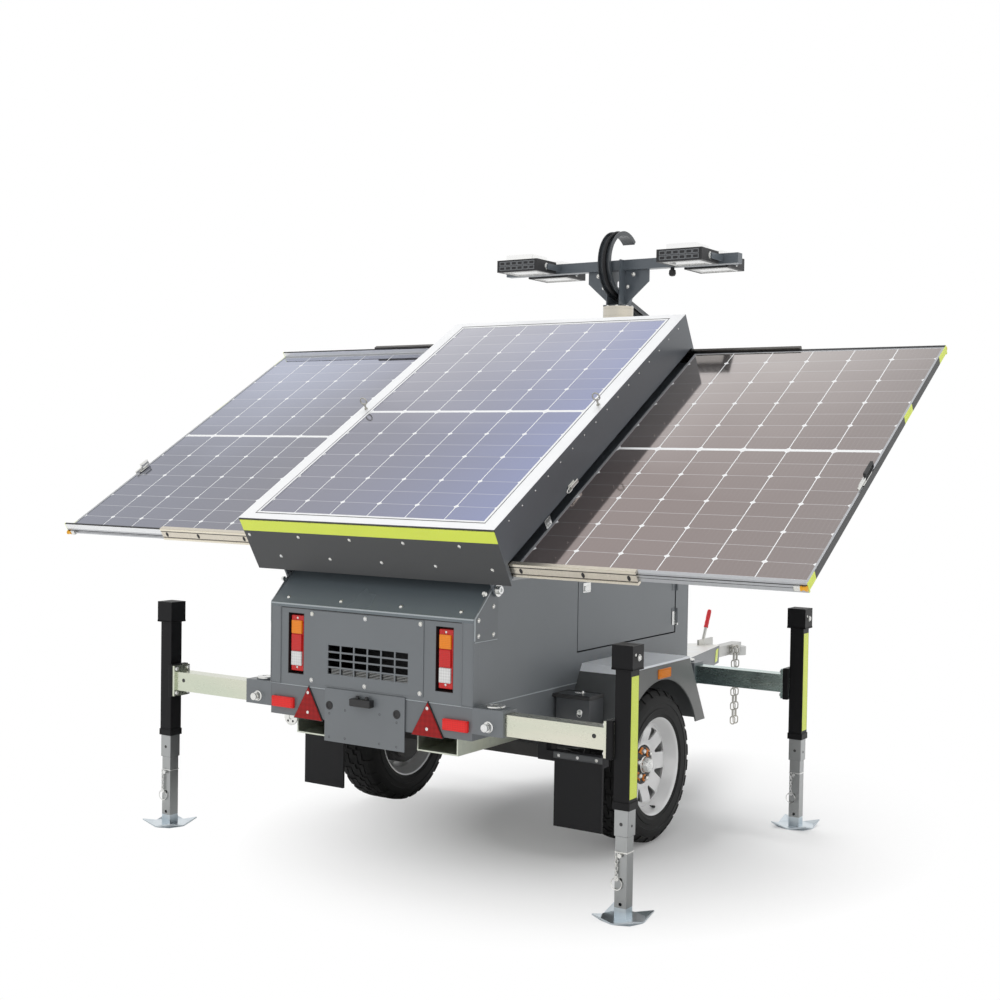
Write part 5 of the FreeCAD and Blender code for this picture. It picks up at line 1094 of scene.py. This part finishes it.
# Drawbar: a tapered steel tongue with a zinc top plate, a painted body, a band of safety tape near
# its tip, and a parking brake lever with a red grip.
top_plate = plated("top_plate", (0.80, 0.82, 0.83), 0.32, (0.82, 0.80, 0.74), spangle=0.3)
dress(frame_grey, "drawbar")
NEAR, TIP = Vector((0, 0.056, 0.652)), Vector((0, 1.3938, 0.5749))
NEAR_HALF, TIP_HALF, TAPE_Y = 0.450, 0.062, 1.300
cover = block("cover", (-0.5, NEAR.y + 0.30, -0.0004), (0.5, TIP.y - 0.004, 0.0022), 0.0008, 1)
for corner in cover.data.vertices:
    along = (corner.co.y - NEAR.y) / (TIP.y - NEAR.y)
    half_width = NEAR_HALF + (TIP_HALF - NEAR_HALF) * along
    corner.co.x = math.copysign(half_width - 0.5 + abs(corner.co.x) + 0.0004, corner.co.x)
    corner.co.z += NEAR.z + (TIP.z - NEAR.z) * along
fit(one_piece("drawbar_cover", [cover]), "chassis", top_plate)

tape_low = []
for side in SIDES.values():
    strip = block("strip", (-0.001, -0.052, -0.034), (0.0003, 0.038, 0.034), 0.0003, 1)
    for corner in strip.data.vertices:
        corner.co.y += corner.co.z * 0.5
    way = math.atan2(NEAR_HALF - TIP_HALF, TIP.y - NEAR.y)
    strip.data.transform(Matrix.Translation((0.0, TAPE_Y, 0.530)) @ Matrix.Rotation(way, 4, "Z"))
    offset = NEAR_HALF + (TIP_HALF - NEAR_HALF) * ((TAPE_Y - NEAR.y) / (TIP.y - NEAR.y))
    strip.data.transform(Matrix.Translation((offset + 0.0006, 0, 0)))
    to_side(strip, side)
    tape_low.append(strip)
fit(one_piece("drawbar_tape", tape_low), "chassis", safety_tape)

coupling_zinc = plated("coupling_zinc", (0.44, 0.45, 0.45), 0.30, (0.55, 0.54, 0.50))
dress(coupling_zinc, "coupling", "safety_chain")
red_grip = moulded("red_grip", (0.70, 0.030, 0.040), 0.40)
LEVER_FOOT = Vector((0, 1.284, 0.567))
lever_turn = Matrix.Translation(LEVER_FOOT) @ Matrix.Rotation(math.radians(-26), 4, "X")
grip = turned("brake_grip", (0, 0, 0.122), "z",
              [(0.0105, 0), (0.0125, 0.002), (0.0125, 0.012), (0.0112, 0.016), (0.0125, 0.030),
               (0.0112, 0.045), (0.0125, 0.060), (0.0120, 0.098), (0.0100, 0.108), (0.005, 0.111)], 24)
grip.data.transform(lever_turn)
fit(grip, "chassis", red_grip)

# Safety chain: round steel links, zinc plated, two strands hung from pins on the coupling.
CHAIN_X, CHAIN_Y, STRAND_REACH, CHAIN_LINKS, LINK_PITCH = 0.048, 1.650, 0.0204, 11, 0.0416
chain_link = hoop("chain_link", 0.0148, 0.0040)
for corner in chain_link.data.vertices:
    corner.co.x *= 0.92
    corner.co.y += math.copysign(0.0078, corner.co.y)
chain_zinc = plated("chain_zinc", (0.36, 0.36, 0.35), 0.30, (0.60, 0.57, 0.50))
low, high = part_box("safety_chain")
strands = []
for y in (CHAIN_Y - STRAND_REACH, CHAIN_Y + STRAND_REACH):
    for step in range(CHAIN_LINKS):
        centre = Vector((CHAIN_X, y, high.z - 0.0270 - step * LINK_PITCH))
        upright_link = (Matrix.Rotation(math.radians(35 + 90 * (step % 2)), 4, "Z")
                        @ Matrix.Rotation(math.pi / 2, 4, "X"))
        strands.append(again(chain_link, Matrix.Translation(centre) @ upright_link))
chain = one_piece("safety_chain_links", strands)
smooth(chain, 40)
fit(chain, "chassis", chain_zinc)
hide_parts("safety_chain")
bpy.data.objects.remove(chain_link)


# Mast: telescopic aluminium tubes with collars, standing on a shelf and held by a clamp in front
# of the cabinet. The top tube ends in a flange that carries the lamp head. All are the solids.
# The mast's patches are stretched into long cream and grey streaks: painted reflections on the shiny tubes.
mast_metal = plated("mast_metal", (0.42, 0.41, 0.38), 0.20, (0.72, 0.66, 0.55), stretch=(1.8, 1.8, 0.1))
MAST_Y = 0.224
dress(mast_metal, "mast_base", "mast_stage_1", "mast_stage_2", "mast_stage_3", "mast_stage_4")


# Lamp head: a painted bar across the mast's top, on two gussets bolted to its flange, and four lamps
# on zinc tilt brackets. Each lamp has a black finned housing, a silver visor and a pale lens.
head_grey = powder_coat("head_grey", (0.125, 0.145, 0.165), 0.32, 0.0)
dress(head_grey, "lamp_head")
guide_grey = powder_coat("guide_grey", (0.060, 0.068, 0.076), 0.22, 0.0)
dress(guide_grey, "cable_guide")
lamp_black = moulded("lamp_black", (0.016, 0.016, 0.018), 0.5)
slot_grey = moulded("slot_grey", (0.20, 0.21, 0.22), 0.4)
cable_rubber = rubber("cable_rubber", (0.012, 0.012, 0.013), 30)
dress(cable_rubber, "mast_cable")
visor_silver = plated("visor_silver", (0.90, 0.90, 0.90), 0.16, (0.92, 0.92, 0.90))
pale_lens = lamp_lens("pale_lens", (0.82, 0.82, 0.80), 60, 0.0)
LIGHT_X, LIGHT_SIZE = 0.455, Vector((0.238, 0.190, 0.060))
LIGHTS = {"rear_right": (1, 0.072), "rear_left": (-1, 0.072),
          "front_right": (1, 0.376), "front_left": (-1, 0.376)}
LIGHT_Z = 2.611
half_x, half_y, half_z = LIGHT_SIZE / 2
for where, (side, y) in LIGHTS.items():
    dress(lamp_black, f"light_{where}")
    centre = Vector((side * LIGHT_X, y, LIGHT_Z))
    ends = []
    for way in (-1, 1):
        # a grid of cooling slots on the narrow end
        for column in range(6):
            for row in range(2):
                at = Vector((-0.088 + column * 0.035, way * (half_y - 0.0004), -0.012 + row * 0.024))
                slot_frame = block("slot_frame", at + Vector((-0.0165, -0.0012, -0.0105)),
                                   at + Vector((0.0165, 0.0012, 0.0105)), 0.0006, 1)
                inlay(slot_frame, lambda at, out: abs(out.y) > 0.9 and out.y * way > 0, (0.0028, 0),
                      (0.0008, -0.0016))
                ends.append(paint(slot_frame, slot_grey))
    fins = []
    for step in range(11):
        x = -0.100 + step * 0.020
        fins.append(paint(block("fin", (x - 0.0016, -half_y + 0.012, half_z - 0.014),
                                (x + 0.0016, half_y - 0.012, half_z), 0.0006, 1),
                          lamp_black))
    visor = block("visor", (-0.078, -half_y + 0.020, half_z - 0.001),
                  (0.078, half_y - 0.020, half_z + 0.0260), 0.003)
    inlay(visor, lambda at, out: out.z > 0.9, (0.010, 0), (0.002, -0.0012))
    paint(visor, visor_silver)
    lens = block("lens", (-half_x + 0.019, -half_y + 0.019, -half_z + 0.0006),
                 (half_x - 0.019, half_y - 0.019, -half_z + 0.0045), 0.0012)
    inlay(lens, lambda at, out: out.z < -0.9, (0.010, 0), (0.002, -0.0008))
    paint(lens, pale_lens)
    knob_rings = [(0.018, -0.001), (0.018, 0.0005), (0.012, 0.0010), (0.012, 0.0044), (0.006, 0.0048)]
    knobs = [paint(turned("knob", (way * half_x, 0, 0), OUTWARD[way], knob_rings, 20), bright_zinc)
             for way in (-1, 1)]
    lamp_piece = one_piece(f"lamp_{where}_fittings", ends + fins + [visor, lens] + knobs)
    lamp_piece.data.transform(Matrix.Translation(centre))
    fit(lamp_piece, f"light_{where}")

# Head fittings: a ring of bolts on the mast's flange, bolts through the gussets, and a small black
# dusk sensor under the bar.
flange = [again(dome_bolt,
                Matrix.Translation((0.066 * math.cos(turn), MAST_Y + 0.066 * math.sin(turn), 2.404)))
          for turn in (math.radians(45 * step + 22.5) for step in range(8))]
fit(one_piece("mast_flange_bolts", flange), "mast_stage_4")
gusset_bolts = [again(dome_bolt, Matrix.Translation((x, MAST_Y - 0.0310, z)) @ FACING["-y"])
                for x, z in ((-0.100, 2.560), (0.100, 2.560), (-0.068, 2.500), (0.068, 2.500))]
fit(one_piece("gusset_bolts", gusset_bolts), "mast_stage_4", bright_zinc)
sensor = turned("sensor", (0.300, MAST_Y, 2.586), "-z",
                [(0.010, 0), (0.010, 0.010), (0.016, 0.013), (0.018, 0.030), (0.014, 0.040), (0.006, 0.043)],
                20)
fit(one_piece("dusk_sensor", [sensor]), "mast_stage_4", lamp_black)


# Deck: a folded steel tray, painted, hinged on the cabinet's rear edge and held up at 31 degrees.
# Its rear apron carries two rows of bolts and a stripe of safety tape along the top.
DECK_TILT = math.radians(30.8)
ON_DECK = Matrix.Translation(HINGE) @ Matrix.Rotation(DECK_TILT, 4, "X")
deck_grey = powder_coat("deck_grey", (0.116, 0.129, 0.146), 0.30, 0.0)
dress(deck_grey, "deck_tray")


def anodised(name, stretch):
    """Extruded aluminium: nearly white, with fine die lines along its length."""
    finish = Finish(name, (0.90, 0.91, 0.92), 0.42, 0.85)
    lines = finish.noise(90, 3, stretch)
    finish.set("Base Color", finish.mix(lines, (0.84, 0.85, 0.87), (0.95, 0.955, 0.96)))
    finish.set("Roughness", 0.36 + lines * 0.14)
    return finish.bump(lines, 0.0003, 0.15)


GROOVE_DARK = (0.030, 0.030, 0.032)


def edged(finish, colour, grooves, edge=None, pale=None):
    """Dark lines at set heights above the deck, painted shade in grooves and gaps, on a drawer's outer
    face black with tape, and a pale coat above a height, with a dark line along its top."""
    x, y, z = finish.axes()
    v = (y - HINGE.y) * math.cos(DECK_TILT) + (z - HINGE.z) * math.sin(DECK_TILT)
    w = (z - HINGE.z) * math.cos(DECK_TILT) - (y - HINGE.y) * math.sin(DECK_TILT)
    # Painted shade: dark lines where the grooves and gaps lie.
    dark = abs(w - grooves[0][0]) < grooves[0][1]
    if not pale:
        dark = dark.most(v > 1.7050)
    for height, half in grooves[1:]:
        dark = dark.most(abs(w - height) < half)
    tone = finish.mix(dark * 0.9, finish.mix(finish.noise(90, 3, (1, 0.06, 0.06)), shade(colour, 0.9),
                                             shade(colour, 1.08)),
                      GROOVE_DARK)
    if pale:
        above = w > pale
        tone = finish.mix(above, tone, finish.mix(w > 0.2030, (0.80, 0.81, 0.82), GROOVE_DARK))
    if edge:
        outer = abs(x) > edge
        taped = (v < 0.055).most(abs(v - 1.162) < 0.052).most(v > 1.612) * outer
        tone = finish.mix(taped, finish.mix(outer, tone, (0.014, 0.015, 0.016)), TAPE_YELLOW)
        finish.set("Metallic", 0.85 - outer * 0.85)
        finish.set("Emission Color", finish.mix(taped, (0.0, 0.0, 0.0), TAPE_YELLOW))
        finish.set("Emission Strength", 0.10)
    finish.set("Base Color", tone)
    return finish


dress(anodised("frame_metal", (1, 0.06, 0.06)), "module_frame_centre")
EDGE_X = 1.7900
SILVER = (0.50, 0.51, 0.53)
MODULE_TOPS = {"right": 0.1345, "left": 0.179}
for tag, pale in (("right", None), ("left", 0.1800)):
    grooves = ((MODULE_TOPS[tag] - 0.0085, 0.0022), (MODULE_TOPS[tag] - 0.021, 0.0012))
    dress(edged(anodised(f"frame_metal_{tag}", (1, 0.06, 0.06)), SILVER, grooves, EDGE_X, pale),
          f"module_frame_{tag}")

# Solar cells: 6 columns of 18 half cells under glass. White backing shows between them as thin
# lines, as a broad line at mid length, and as diamonds where the corners of whole cells were cut.
CELL, HALF_CELL, COLUMN_GAP, ROW_GAP, MIDDLE_GAP = 0.182, 0.091, 0.0040, 0.0022, 0.016
MODULE_MIDDLE, MODULE_LONG, MODULE_WIDE = 0.8524, 1.722, 1.134
ROWS_IN_HALF = 9


def solar_glass(name, middle, rear, front, corner, line):
    """Cells under glass, with painted reflections from rear to front and to one side, fine busbars, thin pale
    rows and white backing.
    """
    finish = Finish(name, rear, 0.12, coat_weight=0.08, coat_roughness=0.04)
    x, y, z = finish.axes()
    u = x - middle
    v = (y - HINGE.y) * math.cos(DECK_TILT) + (z - HINGE.z) * math.sin(DECK_TILT) - MODULE_MIDDLE
    pitch = CELL + COLUMN_GAP
    row_pitch = HALF_CELL + ROW_GAP
    across = (u / pitch) % 1.0
    to_column = (0.5 - abs(across - 0.5)) * pitch
    beyond = abs(v) - MIDDLE_GAP / 2
    along = (beyond / row_pitch) % 1.0
    to_row = (0.5 - abs(along - 0.5)) * row_pitch
    pair = (beyond / (row_pitch * 2)) % 1.0
    to_pair = (0.5 - abs(pair - 0.5)) * row_pitch * 2
    backing = (to_column < COLUMN_GAP / 2).most(beyond < 0.0).most((to_column + to_pair) < 0.0125)
    outside = (abs(u) > pitch * 3 + 0.001).most(beyond > row_pitch * ROWS_IN_HALF + 0.001)
    backing = backing.most(outside)
    row_line = to_row < ROW_GAP / 2
    busbar = abs((u / pitch * 10) % 1.0 - 0.5) > 0.47
    spot = finish.node("ShaderNodeCombineXYZ", None, {"X": (u / pitch).whole(), "Y": (v / row_pitch).whole()})
    lot = finish.node("ShaderNodeTexWhiteNoise", {"noise_dimensions": "2D"}, {"Vector": spot}, "Value")
    # Painted reflection: the rear colour turns to a lighter front colour along the module, and to a third
    # colour at one side.
    forward = (v / MODULE_LONG + 0.5 + (finish.noise(1.3, 2) - 0.5) * 0.5).held()
    sideways = (u / MODULE_WIDE + 0.5).held()
    cells_and_reflection = finish.mix((forward * 1.6 - 0.6).held(), rear, front)
    cells_and_reflection = finish.mix(sideways * sideways * 0.8, cells_and_reflection, corner)
    cells_and_reflection = finish.mix(lot * 0.10, cells_and_reflection, shade(rear, 0.6))
    cells_and_reflection = finish.mix(busbar * 0.10, cells_and_reflection, line)
    cells_and_reflection = finish.mix(row_line * 0.55, cells_and_reflection, line)
    finish.set("Base Color", finish.mix(backing, cells_and_reflection, (0.86, 0.87, 0.88)))
    finish.set("Metallic", 0.92 - backing * 0.92)
    finish.set("Roughness", 0.07 + backing * 0.12)
    return finish


CELL_LINE, DRAWER_X = (0.80, 0.80, 0.82), 1.225
REFLECTION_TONES = {"centre": (0.0, (0.265, 0.268, 0.325), (0.500, 0.500, 0.560), (0.300, 0.340, 0.560)),
          "left": (-DRAWER_X, (0.225, 0.235, 0.290), (0.430, 0.460, 0.580), (0.250, 0.245, 0.275)),
          "right": (DRAWER_X, (0.300, 0.250, 0.240), (0.540, 0.500, 0.485), (0.300, 0.268, 0.262))}
for tag, (middle, rear, front, corner) in REFLECTION_TONES.items():
    dress(solar_glass(f"{tag}_cells", middle, rear, front, corner, CELL_LINE), f"module_glass_{tag}")
rail_metal = plated("rail_metal", (0.70, 0.66, 0.58), 0.26, (0.82, 0.76, 0.62), stretch=(0.1, 1, 1))
RAIL_HEIGHTS = {"right": 0.1165, "left": 0.187}
for tag, rail in RAIL_HEIGHTS.items():
    metal = plated(f"rail_metal_{tag}", (0.70, 0.66, 0.58), 0.26, stretch=(0.1, 1, 1))
    dress(edged(metal, (0.66, 0.61, 0.52), ((rail + 0.0150, 0.0022), (rail - 0.0150, 0.0022))),
          f"mid_rails_{tag}")
ram_black = powder_coat("ram_black", (0.018, 0.018, 0.020), 0.35, 0.0)
dress(ram_black, "ram_barrels")
dress(bright_zinc, "ram_rods")


# Deck trim: a broad aluminium border round the centre module, a stripe of safety tape along the
# rear apron's top, dome headed bolts in two rows, rivets along the sides, and lifting rings.
TOP, DECK_HALF, DECK_BACK, DECK_FRONT = 0.3105, 0.631, -0.0516, 1.7564
MODULE_HALF, MODULE_BACK, MODULE_FRONT = 0.567, -0.0086, 1.7134
border = block("deck_border", (-DECK_HALF, DECK_BACK + 0.0002, TOP - 0.0004),
               (DECK_HALF, DECK_FRONT - 0.0010, TOP + 0.0008), 0.0004, 1)
hole = block("hole", (-MODULE_HALF + 0.0115, MODULE_BACK + 0.0115, TOP - 0.02),
             (MODULE_HALF - 0.0115, MODULE_FRONT - 0.0115, TOP + 0.02), 0.0003, 1)
cut_away(border, hole)
seam_parts = []
for low, high in (((-MODULE_HALF - 0.0025, MODULE_BACK - 0.0035, 0),
                   (MODULE_HALF + 0.0025, MODULE_BACK + 0.0010, 0)),
                  ((-MODULE_HALF - 0.0025, MODULE_FRONT - 0.0010, 0),
                   (MODULE_HALF + 0.0025, MODULE_FRONT + 0.0045, 0)),
                  ((-MODULE_HALF - 0.0025, MODULE_BACK, 0), (-MODULE_HALF + 0.0010, MODULE_FRONT, 0)),
                  ((MODULE_HALF - 0.0010, MODULE_BACK, 0), (MODULE_HALF + 0.0025, MODULE_FRONT, 0))):
    seam_parts.append(block("seam", (low[0], low[1], TOP + 0.0002),
                            (high[0], high[1], TOP + 0.0012), 0.0002, 1))
border_white = anodised("border_white", (0.06, 0.06, 0.06))
border_white.set("Metallic", 0.35)
border.data.transform(ON_DECK)
fit(border, "deck", border_white)
seam = one_piece("deck_seam", seam_parts)
seam.data.transform(ON_DECK)
fit(seam, "deck", under_black)

# A thin plate on the rear apron wears a darker copy of the deck's paint: painted shade, as the apron faces
# down and back.
apron_painted_shade = powder_coat("apron_painted_shade", (0.060, 0.062, 0.064), 0.40, 0.0, 0.35)
apron = block("deck_apron", (-DECK_HALF + 0.0008, DECK_BACK - 0.0005, 0.0610),
              (DECK_HALF - 0.0008, DECK_BACK + 0.001, 0.249), 0.0002, 1)
inlay(apron, lambda at, way: way.y < -0.9, (0.001, 0))
apron.data.transform(ON_DECK)
fit(apron, "deck", apron_painted_shade)
stripe = block("deck_stripe", (-DECK_HALF + 0.001, DECK_BACK - 0.0006, 0.249),
               (DECK_HALF - 0.001, DECK_BACK + 0.001, 0.303), 0.0002, 1)
inlay(stripe, lambda at, way: way.y < -0.9, (0.001, 0))
stripe.data.transform(ON_DECK)
fit(stripe, "deck", safety_tape)
dark_line = block("deck_drip_edge", (-DECK_HALF - 0.0004, DECK_BACK - 0.0006, 0.3000),
                  (DECK_HALF + 0.0004, DECK_BACK + 0.002, 0.3084), 0.0004, 1)
dark_line.data.transform(ON_DECK)
fit(dark_line, "deck", under_black)

apron_places = [(-0.606 + 0.264 * step, DECK_BACK - 0.0005, 0.229) for step in range(5)]
apron_places += [(-0.477 + 0.261 * step, DECK_BACK - 0.0005, 0.130) for step in range(5)]
bolts("apron_bolts", "deck", apron_places, "-y", 0.70, turn=ON_DECK)
rivet_places = [(0.631, 0.05 + 0.107 * step, 0.286) for step in range(16)]
bolts("side_rivets_right", "deck", rivet_places, "x", 0.36, turn=ON_DECK)
bolts("side_rivets_left", "deck", [(-x, v, w) for x, v, w in rivet_places], "-x", 0.36, turn=ON_DECK)

for tag, side, v in (("right", 1, 0.899), ("left", -1, 0.876)):
    shank = turned("ring_shank", (0, 0, TOP + 0.0014), "z",
                   [(0.008, 0), (0.008, 0.003), (0.0045, 0.004), (0.0045, 0.020), (0.006, 0.021),
         (0.006, 0.027), (0.003, 0.028)], 14)
    loop = hoop("ring_loop", 0.0165, 0.0033, Matrix.Translation((0, 0, TOP + 0.040))
                @ Matrix.Rotation(math.pi / 2, 4, "X"), 28)
    eye = one_piece(f"lift_ring_{tag}", [shank, loop])
    eye.data.transform(ON_DECK @ Matrix.Translation((side * 0.600, v, 0)))
    fit(eye, "deck", chain_zinc)


# Toggle latches: a zinc lever with a wire hoop on each side of the deck, and small stop brackets.
# They hold the drawers shut on the road.
for tag, side in SIDES.items():
    base = block("latch_base", (0.6310, 0.478, 0.150), (0.6345, 0.530, 0.176), 0.001)
    lever = block("latch_lever", (0.6345, 0.488, 0.155), (0.6420, 0.548, 0.171), 0.002)
    wire = hoop("latch_wire", 0.0135, 0.0022, Matrix.Translation((0.640, 0.478, 0.163)) @ FACING["x"]
                @ Matrix.Diagonal((0.7, 1.9, 1, 1)))
    bracket = block("stop", (0.6310, 0.262, 0.112), (0.6330, 0.306, 0.148), 0.0006)
    tab = block("stop_tab", (0.6310, 0.262, 0.112), (0.6440, 0.306, 0.115), 0.0006)
    toggle = one_piece(f"toggle_{tag}", [base, lever, wire, bracket, tab])
    to_side(toggle, side)
    toggle.data.transform(ON_DECK)
    fit(toggle, "deck", bright_zinc)


# Drawers: each module slides out on telescopic rails. Its outer edge carries a zinc latch with a
# folding handle, black on the right one, and yellow bumpers on zinc blocks at both ends.
yellow_plastic = moulded("yellow_plastic", (0.90, 0.42, 0.015), 0.40)
for tag, side in SIDES.items():
    top = MODULE_TOPS[tag]
    parts = []
    for v in (MODULE_BACK - 0.012, MODULE_FRONT + 0.012):
        bumper = turned("bumper", (1.7660, v, top - 0.018), "x",
                        [(0.009, 0), (0.009, 0.004), (0.0065, 0.006), (0.0065, 0.015), (0.0090, 0.018),
                         (0.0100, 0.0235), (0.0070, 0.0252)], 20)
        stop_block = block("bumper_block", (1.742, v - 0.006, top - 0.028),
                           (1.766, v + 0.006, top - 0.008), 0.002)
        parts += [paint(bumper, yellow_plastic), paint(stop_block, bright_zinc)]
    hook_plate = block("hook_plate", (1.7700, 0.600, top + 0.0006), (1.7915, 0.700, top + 0.0040), 0.001)
    hook_arm = block("hook_arm", (1.7800, 0.560, top + 0.0040), (1.7880, 0.640, top + 0.0160), 0.003)
    handle_frame = block("handle_frame", (1.7780, 0.640, top + 0.0040), (1.7900, 0.730, top + 0.0300), 0.002)
    inlay(handle_frame, lambda at, way: abs(way.x) > 0.9, (0.006, 0), (0.001, -0.003))
    latch_parts = [paint(hook_plate, bright_zinc), paint(hook_arm, bright_zinc),
                   paint(handle_frame, black_plastic if side > 0 else bright_zinc)]
    for part in latch_parts if side < 0 else ():
        part.data.transform(Matrix.Translation((0, 0.160, 0)) @ Matrix.Diagonal((1, 0.55, 1, 1)))
    parts += latch_parts
    drawer_edge = one_piece(f"drawer_edge_{tag}", parts)
    to_side(drawer_edge, side)
    drawer_edge.data.transform(ON_DECK)
    fit(drawer_edge, f"drawer_{tag}")

# Module backs: a white plastic sheet under each drawn out module's glass, inside its frame, with
# three small black junction boxes glued on across its middle.
sheet_white = moulded("sheet_white", (0.62, 0.63, 0.63), 0.5)
for tag, side in SIDES.items():
    top = MODULE_TOPS[tag]
    backing = block("backing", (0.674, MODULE_BACK + 0.016, top - 0.0078),
                    (1.776, MODULE_FRONT - 0.016, top - 0.0064), 0.0004, 1)
    inlay(backing, lambda at, way: way.z < -0.9, (0.012, 0))
    parts = [paint(backing, sheet_white)]
    for u in (DRAWER_X - 0.365, DRAWER_X, DRAWER_X + 0.365):
        junction = block("junction", (u - 0.045, 0.822, top - 0.0210),
                         (u + 0.045, 0.882, top - 0.0076), 0.004, 3)
        parts.append(paint(junction, black_plastic))
    module_back = one_piece(f"module_back_{tag}", parts)
    to_side(module_back, side)
    module_back.data.transform(ON_DECK)
    fit(module_back, f"drawer_{tag}")

# Rails: each middle rail has keyholes with black bolts on its outer face, and a lighter bead along
# its top and bottom edges.
for tag, side in SIDES.items():
    rail = RAIL_HEIGHTS[tag]
    parts = []
    for v, facing in ((MODULE_BACK - 0.0200, "-y"), (MODULE_FRONT + 0.0200, "y")):
        out = -1 if facing == "-y" else 1
        for x in (0.120, 0.400, 0.676, 0.941, 1.128):
            keyhole = turned("keyhole", (0, 0, 0), "z", [(0.0085, 0), (0.0085, 0.0008), (0.0070, 0.0018),
                                                         (0.0035, 0.0020), (0.003, 0.0010)], 16)
            keyhole.data.transform(Matrix.Translation((side * x, v, rail)) @ FACING[facing]
                                   @ Matrix.Diagonal((0.8, 1.35, 1, 1)))
            parts.append(paint(keyhole, black_plastic))
        for height in (-0.0235, 0.0235):
            bead = block("bead",
                         (min(side * 0.026, side * 1.160), min(v, v + out * 0.0016), rail + height - 0.0045),
                         (max(side * 0.026, side * 1.160), max(v, v + out * 0.0016), rail + height + 0.0045),
                         0.0007, 2)
            parts.append(paint(bead, rail_metal))
    rail_set = one_piece(f"rail_fittings_{tag}", parts)
    rail_set.data.transform(ON_DECK)
    fit(rail_set, f"slides_{tag}")


for pattern in (dome_bolt, ring_pin, link):
    bpy.data.objects.remove(pattern)
